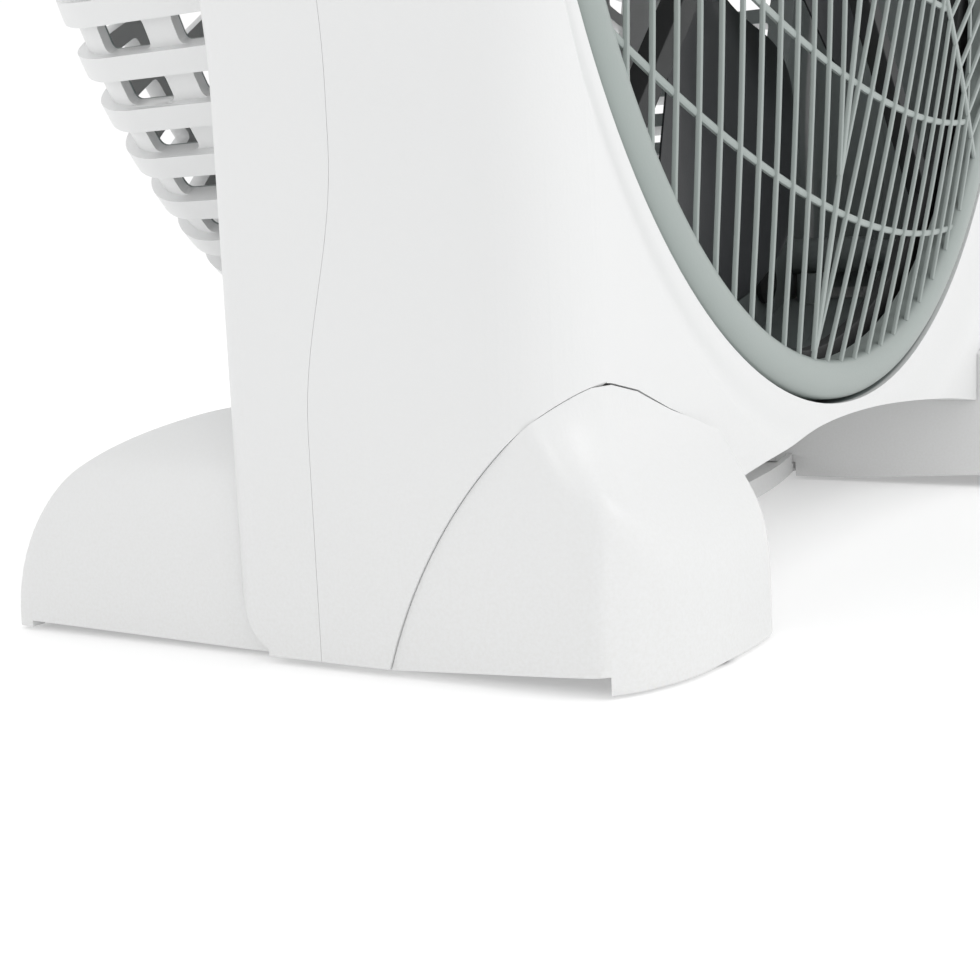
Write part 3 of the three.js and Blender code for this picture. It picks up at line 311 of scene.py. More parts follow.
# ---------------------------------------------------------------- finishes
class Wire:
    """A shader socket that takes part in sums."""

    def __init__(self, finish, socket):
        self.finish = finish
        self.socket = socket

    def _sum(self, operation, first, second, clamp=False):
        return self.finish.node(
            "ShaderNodeMath", {"operation": operation, "use_clamp": clamp}, [first, second])

    def __add__(self, other):
        return self._sum("ADD", self, other)

    def __radd__(self, other):
        return self._sum("ADD", other, self)

    def __sub__(self, other):
        return self._sum("SUBTRACT", self, other)

    def __rsub__(self, other):
        return self._sum("SUBTRACT", other, self)

    def __mul__(self, other):
        return self._sum("MULTIPLY", self, other)

    def __rmul__(self, other):
        return self._sum("MULTIPLY", other, self)

    def __pow__(self, other):
        return self._sum("POWER", self, other)

    def held(self):
        return self._sum("ADD", self, 0.0, True)


class Finish:
    """A material and the nodes that make it."""

    def __init__(self, name, **fixed):
        self.material = bpy.data.materials.new(name)
        self.material.use_nodes = True
        self.tree = self.material.node_tree
        self.tree.nodes.clear()
        self.shader = self.tree.nodes.new("ShaderNodeBsdfPrincipled")
        self.out = self.tree.nodes.new("ShaderNodeOutputMaterial")
        self.tree.links.new(self.shader.outputs[0], self.out.inputs["Surface"])
        for name, value in fixed.items():
            self.shader.inputs[name.replace("_", " ")].default_value = value
        self.place = self.node("ShaderNodeTexCoord", {}, {}, "Object")

    def node(self, kind, settings=None, values=None, output=0):
        made = self.tree.nodes.new(kind)
        for key, value in (settings or {}).items():
            setattr(made, key, value)
        if isinstance(values, (list, tuple)):
            values = dict(enumerate(values))
        for key, value in (values or {}).items():
            if isinstance(value, Wire):
                self.tree.links.new(value.socket, made.inputs[key])
            else:
                made.inputs[key].default_value = value
        return Wire(self, made.outputs[output])

    def noise(self, scale, detail=3.0, roughness=0.5, stretch=None):
        place = self.place
        if stretch:
            place = self.node("ShaderNodeMapping", {}, {"Vector": place, "Scale": stretch})
        return self.node(
            "ShaderNodeTexNoise", {},
            {"Vector": place, "Scale": scale, "Detail": detail, "Roughness": roughness})

    def ramp(self, value, low, high):
        return self.node(
            "ShaderNodeMapRange", {"clamp": True},
            {"Value": value, "From Min": low, "From Max": high})

    def blend(self, share, first, second):
        made = self.tree.nodes.new("ShaderNodeMix")
        made.data_type = "RGBA"
        self.tree.links.new(share.socket, made.inputs[0])
        for key, value in ((6, first), (7, second)):
            if isinstance(value, Wire):
                self.tree.links.new(value.socket, made.inputs[key])
            else:
                made.inputs[key].default_value = (*value, 1.0)
        return Wire(self, made.outputs[2])

    def feed(self, name, wire):
        self.tree.links.new(wire.socket, self.shader.inputs[name])

    def bump(self, height, depth, strength=1.0):
        bump = self.node("ShaderNodeBump", {}, {
            "Height": height, "Strength": strength, "Distance": depth})
        self.feed("Normal", bump)


def painted_shade_inside(f):
    """Painted shade: one on the inner walls of the housing and of the cage's side, where the shade
    behind the grille falls, nothing elsewhere.
    """
    x, y, z = (f.node("ShaderNodeSeparateXYZ", {}, [f.place], k) for k in range(3))
    out = f.node("ShaderNodeMath", {"operation": "ABSOLUTE"}, [x])
    turn = f.ramp(z, 0.110, 0.198) * math.pi
    swell = f.node("ShaderNodeMath", {"operation": "COSINE"}, [turn])
    above = lambda wire: f.node("ShaderNodeMath", {"operation": "MAXIMUM"}, [0.0, wire])
    rounding = above(-0.048 - y) * 0.6 + above(y - 0.007) * 0.7
    side = f.ramp(out + 0.007 * swell - 0.167 + rounding, -0.0011, -0.0016)
    shoulder = above(out - 0.084) ** 2.0 + above(z - 0.292) ** 2.0
    side = side * f.ramp(shoulder, 0.0886 ** 2, 0.0882 ** 2)
    over_foot = f.ramp(out, 0.0984, 0.0986)
    floor = (0.034 - 0.7057 * (x * x)) * (1.0 - over_foot) + (out * 0.3 + 0.0116) * over_foot
    housing = (side * f.ramp(y, -0.0585, -0.0578) * f.ramp(y, 0.0134, 0.0129)
               * f.ramp(z - floor, 0.0014, 0.0019) * f.ramp(z, 0.3505, 0.35))
    rise = z - 0.198
    round_axis = x * x + rise * rise
    cage = (f.ramp(round_axis, 0.15095 ** 2, 0.1508 ** 2) * f.ramp(y, 0.061, 0.0605)
            * f.ramp(y, 0.009, 0.0095))
    return (housing + cage).held()


def moulded_plastic(name, colour, shade, roughness, grain=1400.0, depth=0.00002, inside=None):
    """Injection moulded plastic: fine texture, faint flow shading, a little dust and, when an inside
    colour is given, painted shade on the inner walls.
    """
    f = Finish(name, IOR=1.47)
    broad = f.noise(9.0, 2.0)
    fine = f.noise(grain, 2.0, 0.6)
    scuff = f.ramp(f.noise(60.0, 6.0, 0.7), 0.62, 0.8)
    tone = f.blend(f.ramp(broad, 0.3, 0.7), colour, shade)
    low = f.ramp(f.node("ShaderNodeSeparateXYZ", {}, [f.place], 2), 0.06, 0.0)
    dust_and_painted_shade = f.blend((low * 0.18 * f.ramp(fine, 0.35, 0.7)).held(), tone, (0.55, 0.53, 0.49))
    # Painted shade: the inner walls are darkened towards the inside colour, standing in for the shade
    # behind the grille.
    if inside:
        dust_and_painted_shade = f.blend(painted_shade_inside(f), dust_and_painted_shade, inside)
    f.feed("Base Color", dust_and_painted_shade)
    f.feed("Roughness", (roughness + broad * 0.06 + scuff * 0.05 + fine * 0.04).held())
    f.bump(fine + 0.4 * f.noise(grain / 5, 2.0), depth)
    return f.material


def brushed_metal(name, colour, roughness, stretch):
    """Turned or drawn steel with fine lines."""
    f = Finish(name, Metallic=1.0)
    lines = f.noise(320.0, 3.0, 0.6, stretch)
    spots = f.ramp(f.noise(90.0, 4.0), 0.45, 0.75)
    f.feed("Base Color", f.blend(spots, colour, tuple(c * 0.82 for c in colour)))
    f.feed("Roughness", (roughness + lines * 0.18 + spots * 0.06).held())
    f.bump(lines, 0.00003)
    return f.material


def enamel(name, colour):
    """Stoved paint with a slight orange peel."""
    f = Finish(name, Coat_Roughness=0.2)
    peel = f.noise(420.0, 2.0, 0.4)
    f.feed("Base Color", f.blend(f.ramp(f.noise(14.0), 0.35, 0.7), colour,
                                 tuple(c * 0.9 for c in colour)))
    f.feed("Roughness", (0.34 + peel * 0.12).held())
    f.bump(peel, 0.00006)
    return f.material


def soft_rubber(name):
    """Matt rubber with a pale bloom."""
    f = Finish(name, IOR=1.5)
    bloom = f.ramp(f.noise(180.0, 4.0), 0.45, 0.8)
    f.feed("Base Color", f.blend(bloom, (0.025, 0.025, 0.026), (0.06, 0.06, 0.058)))
    f.feed("Roughness", (0.78 + bloom * 0.12).held())
    f.bump(f.noise(1600.0), 0.00004)
    return f.material


def winding(name):
    """Lacquered copper wire, wound round the motor."""
    f = Finish(name, Metallic=0.9)
    wave = f.node("ShaderNodeTexWave", {"wave_type": "BANDS", "bands_direction": "Y"},
                  {"Vector": f.place, "Scale": 900.0, "Distortion": 1.5})
    f.feed("Base Color", f.blend(wave, (0.34, 0.13, 0.05), (0.66, 0.33, 0.16)))
    f.feed("Roughness", (0.3 + wave * 0.12).held())
    f.bump(wave, 0.0001)
    return f.material


PALETTE = {}


def finishes(settings):
    """Makes the finishes once, from the colours in the panel."""
    if PALETTE:
        return PALETTE
    shell = tuple(settings.shell_colour)
    grille = tuple(settings.grille_colour)
    fan = tuple(settings.fan_colour)
    PALETTE["shell_white"] = moulded_plastic(
        "White housing plastic", shell, tuple(c * 0.975 for c in shell), 0.36)
    # Painted shade: the same white plastic, darkened on its inner walls where shade falls behind the
    # grille.
    PALETTE["shell_painted_shade"] = moulded_plastic(
        "White housing plastic, dark inside", shell, tuple(c * 0.975 for c in shell), 0.36,
        inside=tuple(settings.inside_painted_shade))
    PALETTE["grille_grey"] = moulded_plastic(
        "Grey grille plastic", grille, tuple(c * 0.94 for c in grille), 0.38)
    PALETTE["fan_plastic"] = moulded_plastic(
        "Fan blade plastic", fan, tuple(c * 0.9 for c in fan), 0.3)
    PALETTE["dark_plastic"] = moulded_plastic(
        "Dark plastic", (0.035, 0.037, 0.037), (0.028, 0.029, 0.03), 0.5)
    PALETTE["steel"] = brushed_metal("Plated steel", (0.6, 0.61, 0.62), 0.22, (1.0, 9.0, 1.0))
    PALETTE["motor_paint"] = enamel("Motor enamel", (0.2, 0.21, 0.215))
    PALETTE["rubber"] = soft_rubber("Foot rubber")
    PALETTE["copper"] = winding("Copper winding")
    return PALETTE


def finished(obj, slot, body, *nodes, look=None):
    """Gives a piece its finish and its body, and puts it in place of its solids."""
    obj.data.materials.clear()
    obj.data.materials.append(PALETTE[look or slot])
    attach(obj, body)
    if nodes:
        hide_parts(*nodes)
    return obj


# ---------------------------------------------------------------- housing
def half_width(z):
    """Half of the housing's width at a height; it narrows towards the feet."""
    if z <= 110.0:
        return 160.0
    if z >= AXIS:
        return 174.0
    return 160.0 + 7.0 * (1 - math.cos(math.pi * (z - 110.0) / (AXIS - 110.0)))


def outline(inset):
    """The housing seen from the front, moved inwards by inset."""
    right = [(160.0 - inset, -30.0), (160.0 - inset, 60.0), (160.0 - inset, 110.0)]
    right += [(half_width(z) - inset, z)
              for z in (110.0 + (AXIS - 110.0) * i / 24 for i in range(1, 25))]
    for i in range(33):
        a = math.pi / 2 * i / 32
        r = 90.0 - inset
        right.append((84.0 + r * math.cos(a), 292.0 + r * math.sin(a)))
    return right + [(-x, z) for x, z in reversed(right)]


def rounded_block(name, inset, front, back, front_edge, back_edge):
    """Housing block with rounded front and rear edges."""
    rings = []
    steps = 12
    for k in range(steps + 1):
        a = math.pi / 2 * k / steps
        rings.append((inset + front_edge * (1 - math.sin(a)), front + front_edge * (1 - math.cos(a))))
    for k in range(steps + 1):
        a = math.pi / 2 * k / steps
        rings.append((inset + back_edge * (1 - math.cos(a)), back - back_edge * (1 - math.sin(a))))
    verts = []
    for gap, y in rings:
        verts += [(x, y, z) for x, z in outline(gap)]
    count = len(outline(inset))
    faces = [tuple(range(count))]
    for i in range(len(rings) - 1):
        for k in range(count):
            m = (k + 1) % count
            a, b = i * count, (i + 1) * count
            faces.append((a + k, a + m, b + m, b + k))
    faces.append(tuple(range(len(verts) - 1, len(verts) - 1 - count, -1)))
    return mesh_object(name, verts, faces)


def underside(lift):
    """Space under the housing: a pocket over each foot and a shallow arch between."""
    inner = 99.6 - lift
    roof = [(inner, 41.0), (104.0, 42.8), (109.7, 45.0), (118.0, 47.5), (131.5, 52.4),
            (142.0, 54.6), (143.9, 54.8)]
    arch = []
    for i in range(41):
        x = -inner + 2 * inner * i / 40
        arch.append((x, lift + 34.0 - 7.0 * (x / inner) ** 2))
    bodies = []
    behind = 157.5 + (20.0 if lift else 0.0)
    for edge, low, high in ((POCKET_SIDE, -120.0, -50.0), (behind, -50.1, 120.0)):
        right = [(inner, 27.0 + lift)] + [(x, z + lift) for x, z in roof]
        right += [(edge, 54.8 + lift), (edge, 1.6), (190.0, 1.6), (190.0, -40.0)]
        left = [(-x, z) for x, z in reversed(right)]
        bodies.append(prism("underside", left[:-1] + arch + right[1:], low, high))
    return bodies


def seam_side(front):
    """Everything in front of the parting line, or behind it."""
    shift = -0.04 if front else 0.04
    line = []
    for i in range(17):
        share = i / 16
        z = 46.0 + 54.0 * share
        line.append((-16.5 + 4.25 * (1 + math.cos(math.pi * share)) + shift, z))
    far = -150.0 if front else 150.0
    points = [(far, -40.0), (-8.0 + shift, -40.0)] + line + [(-16.5 + shift, 440.0), (far, 440.0)]
    return prism("seam side", points, -220.0, 220.0, "X")


def skirt_cut(points):
    """Cutters through both side walls, from an outline seen from the side."""
    return [prism("skirt cut", points, POCKET_SIDE, 220.0, "X"),
            prism("skirt cut", points, -220.0, -POCKET_SIDE, "X")]


def bend(start, middle, end, steps):
    """Points on a quadratic curve."""
    out = []
    for i in range(steps + 1):
        t = i / steps
        out.append(tuple(
            a * (1 - t) ** 2 + b * 2 * t * (1 - t) + c * t * t
            for a, b, c in zip(start, middle, end)))
    return out


def arch_curve():
    """Edge of the housing over the toe, seen from the side."""
    start = Vector((-24.0, 1.4))
    end = Vector((-64.0, 55.0))
    chord = end - start
    out = Vector((chord.y, -chord.x)).normalized() * 11.4
    return bend(start, (start + end) / 2 + out, end, 24)


def toe_arch():
    """Cuts the side walls away over the toe of each foot."""
    return skirt_cut([(-24.0, -40.0)] + arch_curve() + [(-120.0, 55.0), (-120.0, -40.0)])


def heel_corner():
    """Cuts the lower rear corner off each side wall."""
    line = bend((5.0, 3.0), (13.0, 7.0), (17.0, 26.0), 16)
    return skirt_cut([(5.0, -40.0), (40.0, -40.0), (40.0, 26.0)] + line[::-1])


def rod(name, radius, low, high, x=0.0, z=AXIS, segments=32):
    """Cylinder along Y."""
    return turned(name, [(0.0, low), (radius, low), (radius, high), (0.0, high)],
                  segments, (x, z))


def post(name, radius, low, high, x, y, segments=32):
    """Upright cylinder."""
    return turned(name, [(0.0, low), (radius, low), (radius, high), (0.0, high)],
                  segments, (x, y), upright=True)


def hollow(name, inner, outer, low, high, segments=32, x=0.0, z=AXIS):
    """Tube along Y."""
    return turned(name, [(inner, low), (outer, low), (outer, high), (inner, high)],
                  segments, (x, z), closed=True)


CORNERS = [(-147.0, 72.0), (147.0, 72.0), (-138.0, 345.0), (138.0, 345.0)]
DIAGONALS = [math.radians(a) for a in (45, 135, 225, 315)]


def on_diagonals(radius):
    """The four places of X and Z on a circle round the fan's axis."""
    return [(radius * math.cos(a), AXIS + radius * math.sin(a)) for a in DIAGONALS]


CAGE_TURN = math.radians(-0.6)


def foot_posts(body, y):
    """Posts for the foot screws, standing on the pocket's roof."""
    for x in (-FOOT_SCREW_X, FOOT_SCREW_X):
        boolean(body, post("foot post", 5.0, 54.5, 66.0, x, y), "UNION")
        boolean(body, post("pilot", PILOT, 40.0, 64.0, x, y))


def front_shell():
    """Front half of the housing, with the dish round its opening."""
    body = rounded_block("front_shell_cover", 0.0, FACE, 40.0, 16.0, 8.0)
    boolean(body, seam_side(True), "INTERSECT")
    boolean(body, underside(0.0))
    inside = rounded_block("inside", WALL, FACE + WALL, 60.0, 13.5, 8.0)
    boolean(inside, underside(WALL))
    boolean(body, inside)
    backing = turned("dish backing", [
        (158.0, -63.4), (180.0, -63.4), (180.0, -61.0), (166.0, -56.5), (158.0, -56.5)],
        192, closed=True)
    boolean(backing, rounded_block("form", 0.4, FACE + 0.4, 40.0, 15.6, 8.0), "INTERSECT")
    boolean(backing, underside(0.4))
    boolean(body, backing, "UNION")
    dish = [(150.0, -90.0), (178.0, -90.0), (178.0, FACE)]
    for i in range(13):
        share = i / 12
        dish.append((177.0 - 16.0 * share, -59.6 - 2.2 * (1 + math.cos(math.pi * share))))
    dish.append((150.0, -59.6))
    boolean(body, turned("dish", dish, 192, closed=True))
    boolean(body, rod("opening", OPENING, -90.0, 30.0, segments=192))
    boolean(body, hollow("collar", OPENING, OPENING + WALL, -59.4, -48.0, 192), "UNION")
    boolean(body, toe_arch())
    boolean(body, block("panel seat", (-70.3, -47.3, 380.2), (70.3, -23.2, 420.0)))
    boolean(body, block("panel well", (-66.0, -44.0, 370.0), (66.0, -26.5, 420.0)))
    foot_posts(body, FOOT_SCREW_YS[0])
    eased(body, 0.45, 3)
    bosses = [hollow("boss", PILOT, 4.5, FACE + 2.0, -14.8, 32, x, z) for x, z in CORNERS]
    for x, z in on_diagonals(EARS):
        bosses.append(hollow("boss", PILOT, 4.0, -59.6, -48.0, 32, x, z))
    return gathered("front_shell_cover", [body] + [smooth(b) for b in bosses])


def rear_shell():
    """Rear half of the housing, with the grip, screw tubes and cord hole."""
    body = rounded_block("rear_shell_cover", 0.0, -60.0, BACK, 8.0, 8.0)
    boolean(body, seam_side(False), "INTERSECT")
    boolean(body, underside(0.0))
    inside = rounded_block("inside", WALL, -90.0, BACK - WALL, 8.0, 5.5)
    boolean(inside, underside(WALL))
    boolean(body, inside)
    boolean(body, rod("opening", 156.7, -60.0, 60.0, segments=192))
    boolean(body, block("grip", (-54.5, -12.0, 358.5), (54.5, BACK - 1.0, 375.0)), "UNION")
    recess = rounded([(-52.0, 361.0), (52.0, 361.0), (52.0, 372.5), (-52.0, 372.5)], 5.0, 8)
    boolean(body, prism("recess", recess, -9.5, 60.0))
    for x, z in CORNERS:
        boolean(body, rod("tube", 6.0, -14.5, BACK - 1.0, x, z), "UNION")
        boolean(body, rod("hole", PILOT, -60.0, 60.0, x, z))
        boolean(body, rod("head seat", 3.9, BACK - 4.0, 60.0, x, z))
    foot_posts(body, FOOT_SCREW_YS[1])
    boolean(body, rod("cord hole", 5.3, 0.0, 60.0, 118.0, 64.0))
    boolean(body, heel_corner())
    return eased(body, 0.45, 3)


def rear_cage():
    """Basket of proud ribs that run round its wall into its end, with a hoop behind them."""
    def corner(r, steps):
        return [(138.0 + r * math.cos(math.pi / 2 * i / steps),
                 59.0 + r * math.sin(math.pi / 2 * i / steps)) for i in range(steps + 1)]
    flange = BACK - WALL - 0.3
    profile = [(160.0, flange - 2.0), (160.0, flange), (156.0, flange)] + corner(18.0, 14)
    profile += [(0.0, 77.0), (0.0, 74.6), (116.0, 74.6), (122.0, 71.5)] + corner(12.5, 10)[::-1]
    profile += [(150.5, flange - 2.0)]
    body = turned("rear_cage_cover", profile, 234, closed=True)
    half = 3.5
    groove = [(153.4, 16.6), (162.0, 16.6), (162.0, 84.0), (131.0, 84.0), (131.0, 76.2),
              (134.0, 74.6)]
    groove += corner(15.4, 12)[::-1][1:]
    slots = [prism("groove", groove, AXIS - half, AXIS + half, "Z")]
    for low, high in ((19.0, 39.3), (47.3, 60.5)):
        shape = rounded([(low, AXIS - half), (high, AXIS - half), (high, AXIS + half),
                         (low, AXIS + half)], 1.8, 4)
        slots.append(prism("slot", shape, 146.0, 158.0, "X"))
    for piece in slots:
        boolean(body, around(piece, 78, CAGE_TURN))
    end_slot = rounded([(54.0, AXIS - 2.8), (127.0, AXIS - 6.4), (127.0, AXIS + 6.4),
                        (54.0, AXIS + 2.8)], 2.4, 4)
    boolean(body, around(prism("end slot", end_slot, 66.0, 86.0), 39, CAGE_TURN))
    corner_slot = rounded([(131.5, AXIS - 3.3), (143.8, AXIS - 3.6), (143.8, AXIS + 3.6),
                           (131.5, AXIS + 3.3)], 1.6, 4)
    boolean(body, around(prism("corner slot", corner_slot, 60.0, 86.0), 78, CAGE_TURN))
    for x, z in on_diagonals(MOTOR_SCREWS):
        boolean(body, rod("post", 6.0, 66.3, 76.0, x, z), "UNION")
        boolean(body, rod("hole", PILOT, 40.0, 100.0, x, z))
        boolean(body, rod("head seat", 3.9, 73.0, 100.0, x, z))
    return eased(body, 0.9, 3)


# ---------------------------------------------------------------- grille
RING_Y = -59.4
DOME = 9.0
LEAN = math.radians(12.7)
SPINE = math.radians(-100.0)
SLAT_DEPTH = 1.0
SLAT_ROOT = 29.0        # radius at which spines and edge ribs leave the hub
SLAT_REACH = 150.8      # radius at which slats and ties end, inside the ring
TIE_BEND = 450.0        # radius of a tie's curve


def dome(r):
    """Y of the grille's face at a distance from the axis."""
    return RING_Y - DOME * (1 - (min(r, 150.0) / 150.0) ** 2)


def fin(name, start, end, width, depth, drop=0.0, steps=14):
    """A slat with a rounded front edge that follows the dome; ends in X and height from the axis."""
    start, end = Vector(start), Vector(end)
    ahead = (end - start).normalized()
    side = Vector((-ahead.y, ahead.x))
    half = width / 2
    section = [(-half, depth), (-half, 0.7), (-half * 0.72, 0.2), (-half * 0.3, 0.02),
               (half * 0.3, 0.02), (half * 0.72, 0.2), (half, 0.7), (half, depth)]
    rings = []
    for i in range(steps + 1):
        here = start + (end - start) * i / steps
        y = dome(here.length) + drop
        places = [(here + side * w, y + d) for w, d in section]
        rings.append([(p.x, deep, AXIS + p.y) for p, deep in places])
    return skinned(name, rings)


def polar(radius, angle):
    """Point in X and height from the axis."""
    return (radius * math.cos(angle), radius * math.sin(angle))


def tie(name, spine, radius, width, front, depth):
    """Curved tie across a petal, behind the slats' front edges."""
    away = TIE_BEND - radius
    to_ring = math.acos((TIE_BEND ** 2 + away ** 2 - SLAT_REACH ** 2) / (2 * TIE_BEND * away))
    third = math.pi / 3
    to_edge = third - math.asin(away * math.sin(third) / TIE_BEND)
    span = min(to_ring, to_edge)
    steps = 40
    section = [(-width / 2, depth), (-width / 2, 0.5), (-width / 4, 0.1), (width / 4, 0.1),
               (width / 2, 0.5), (width / 2, depth)]
    rings = []
    for i in range(steps + 1):
        a = -span + 2 * span * i / steps
        ring = []
        for w, d in section:
            r = TIE_BEND + w
            x, z = r * math.cos(a) - away, r * math.sin(a)
            px = x * math.cos(spine) - z * math.sin(spine)
            pz = x * math.sin(spine) + z * math.cos(spine)
            y = dome(math.hypot(px, pz)) + front + d * (depth - front) / depth
            ring.append((px, y, AXIS + pz))
        rings.append(ring)
    return skinned(name, rings)


def petal(settings):
    """One third of the grille: its spine, one edge rib, slats and ties."""
    parts = []
    for side in (1, -1):
        along = SPINE - side * LEAN
        direction = Vector((math.cos(along), math.sin(along)))
        normal = Vector((-side * math.sin(along), side * math.cos(along)))
        opening = math.pi / 3 + LEAN
        for i in range(settings.slat_count):
            off = 14.5 + settings.slat_pitch * i
            if off >= 150.0:
                break
            near = max(off / math.tan(opening),
                       math.sqrt(30.0 ** 2 - off ** 2) - 1.0 if off < 30.0 else 0.0)
            far = min(off / math.tan(LEAN) - 2.0, math.sqrt(SLAT_REACH ** 2 - off ** 2))
            if far - near < 2.0:
                break
            parts.append(fin("slat", normal * off + direction * near,
                             normal * off + direction * far, settings.slat_width, SLAT_DEPTH))
    for rib, angle, width, drop in (("spine", SPINE, 2.0, -0.15),
                                    ("edge rib", SPINE + math.pi / 3, 2.4, -0.1)):
        parts.append(fin(rib, polar(SLAT_ROOT, angle), polar(SLAT_REACH, angle),
                         width, SLAT_DEPTH, drop, 30))
    for radius in (114.5, 83.0, 51.5):
        parts.append(tie("tie", SPINE, radius, 1.6, 0.6, SLAT_DEPTH + 0.6))
    return gathered("petal", parts)


def front_grille(settings):
    """Ring and hub of the grille, with its three petals."""
    slats = around(petal(settings), 3, 0.0)
    y = RING_Y
    ring = turned("ring", [
        (150.2, y + 8.0), (150.0, y + 2.2), (150.3, y + 0.7), (151.2, y - 0.4), (152.6, y - 1.0),
        (154.6, y - 1.15), (156.6, y - 1.0), (158.2, y - 0.45), (159.3, y + 0.3),
        (159.85, y + 1.1), (160.0, y + 2.2), (160.0, y + 8.0), (157.6, y + 8.0), (157.4, y + 1.6),
        (152.4, y + 1.6), (152.2, y + 8.0)], 256, closed=True)
    h = dome(0.0)
    hub = turned("hub", [
        (4.3, h + 2.2), (27.2, h + 2.2), (27.2, h + 0.3), (27.6, h), (28.2, h - 0.2),
        (29.2, h), (29.8, h + 0.5), (30.0, h + 1.2), (30.0, h + 7.0), (28.0, h + 7.0),
        (28.0, h + 4.0), (7.0, h + 4.0), (7.0, h + 9.0), (4.3, h + 9.0)], 96, closed=True)
    return gathered("front_grille_cover", [smooth(slats), smooth(ring), smooth(hub)])


def grille_cap():
    """Domed cap over the grille's hub."""
    base = dome(0.0) + 1.7
    r = 26.7
    points = [(0.0, base), (r, base)]
    points += [(r, base - 1.2), (r - 0.25, base - 1.7), (r - 0.8, base - 2.1)]
    points += [(r * (1 - t), base - 2.1 - 2.45 * math.sin(math.pi / 2 * t) ** 0.9)
               for t in (0.12, 0.25, 0.4, 0.55, 0.7, 0.85)]
    points.append((0.0, base - 4.58))
    body = turned("grille_cap_cover", points, 96)
    return smooth(body)


# ---------------------------------------------------------------- spider and drive
def front_spider():
    """Carrier behind the grille: rim, arms, ears and the cup for the drive."""
    y0, y1 = -47.7, -43.7
    rim = hollow("rim", 148.0, OPENING, y0, y1, 192)
    cup = turned("cup", [(0.0, y1 - 1.5), (24.3, y1 - 1.5), (24.3, y0 - 3.0), (26.5, y0 - 3.0),
                         (26.5, y1 + 2.0), (0.0, y1 + 2.0)], 96)
    boolean(rim, cup, "UNION")
    for a, (x, z) in zip(DIAGONALS, on_diagonals(EARS)):
        arm = prism("arm", [(25.0, AXIS - 3.0), (150.0, AXIS - 3.0), (150.0, AXIS + 3.0),
                            (25.0, AXIS + 3.0)], y0, y1 + 2.0)
        boolean(rim, around(arm, 1, a), "UNION")
        ear = prism("ear", [(159.0, AXIS - 4.5), (EARS, AXIS - 4.5), (EARS, AXIS + 4.5),
                            (159.0, AXIS + 4.5)], y0, y1 - 1.0)
        boolean(rim, around(ear, 1, a), "UNION")
        boolean(rim, rod("ear end", 4.5, y0, y1 - 1.0, x, z), "UNION")
        boolean(rim, rod("hole", PILOT, y0 - 5.0, y1 + 5.0, x, z))
    rim.name = "front_spider_cover"
    return eased(rim, 0.5, 2)


def grille_motor():
    """Small drive in the spider's cup."""
    f, b = -57.0, -45.5
    body = turned("grille_motor_cover", [
        (0.0, f), (5.6, f), (6.0, f + 0.4), (6.0, f + 1.5), (22.6, f + 1.5), (23.6, f + 1.9),
        (24.0, f + 2.8), (24.0, b - 0.6), (23.6, b), (0.0, b)], 72)
    return smooth(body)


def shaft(name, radius, low, high):
    """Shaft along Y with chamfered ends."""
    return smooth(turned(name, [
        (0.0, low), (radius - 0.5, low), (radius, low + 0.5), (radius, high - 0.5),
        (radius - 0.5, high), (0.0, high)], 48))


# ---------------------------------------------------------------- fan and motor
HUB_FRONT = -26.0


def one_blade():
    """A twisted blade with a rounded tip and thin edges."""
    along, across = 28, 20
    rows = []
    for i in range(along + 1):
        u = i / along
        r = 30.5 + 109.5 * math.sin(u * math.pi / 2)
        grow = 0.36 + 0.14 * math.sin(u * math.pi)
        tip = math.sqrt(max(0.12, 1 - u ** 5))
        pitch = math.radians(38 - 20 * u)
        row = []
        for j in range(across + 1):
            v = (j / across - 0.5) * 2
            chord = v * grow * tip * (26 + 62 * u) * 1.75
            arc = chord * math.cos(pitch) * 1.9
            a = 0.22 * u * u + arc / (26 + 0.86 * r)
            y = HUB_FRONT + 17 + chord * math.sin(pitch) * 0.6 - 4 * (1 - v * v)
            thick = 0.98 * (1 - 0.72 * v ** 6)
            row.append((r * math.cos(a), y, AXIS + r * math.sin(a), thick))
        rows.append(row)
    verts = [(x, y - t, z) for row in rows for x, y, z, t in row]
    verts += [(x, y + t, z) for row in rows for x, y, z, t in row]
    count = (along + 1) * (across + 1)
    at = lambda i, j: i * (across + 1) + j
    faces = []
    for i in range(along):
        for j in range(across):
            faces.append((at(i, j), at(i + 1, j), at(i + 1, j + 1), at(i, j + 1)))
            faces.append((count + at(i, j), count + at(i, j + 1),
                          count + at(i + 1, j + 1), count + at(i + 1, j)))
    rim = [at(0, j) for j in range(across)] + [at(i, across) for i in range(along)]
    rim += [at(along, j) for j in range(across, 0, -1)] + [at(i, 0) for i in range(along, 0, -1)]
    for k, a in enumerate(rim):
        b = rim[(k + 1) % len(rim)]
        faces.append((a, b, count + b, count + a))
    return mesh_object("blade", verts, faces)


def fan_blade(settings):
    """Fan wheel: the blades and their hub."""
    blades = smooth(around(one_blade(), settings.blade_count, 0.0), 60.0)
    f = HUB_FRONT
    hub = smooth(turned("hub", [
        (4.3, f + 2.0), (12.0, f + 1.7), (24.0, f + 1.1), (27.0, f + 1.1), (29.5, f + 2.3),
        (31.2, f + 4.2), (32.0, f + 6.5), (32.0, 0.0), (29.5, 0.0), (29.5, f + 9.0),
        (25.0, f + 4.0), (9.0, f + 5.0), (9.0, 2.0), (4.3, 2.0)], 96, closed=True))
    return gathered("fan_blade_cover", [blades, hub])


def blade_nut():
    """Screwed cap nut with grip notches."""
    y1 = HUB_FRONT + 1.7
    body = turned("blade_nut_cover", [
        (4.3, y1 - 7.0), (6.2, y1 - 7.0), (7.4, y1 - 6.2), (8.0, y1 - 5.0), (8.0, y1 - 2.0),
        (10.6, y1 - 1.2), (11.0, y1 - 0.7), (11.0, y1), (4.3, y1)], 96, closed=True)
    notch = around(rod("notch", 1.3, y1 - 12.0, y1 - 2.2, 8.6, AXIS, 24), 8, 0.0)
    boolean(body, notch)
    return eased(body, 0.25, 2)


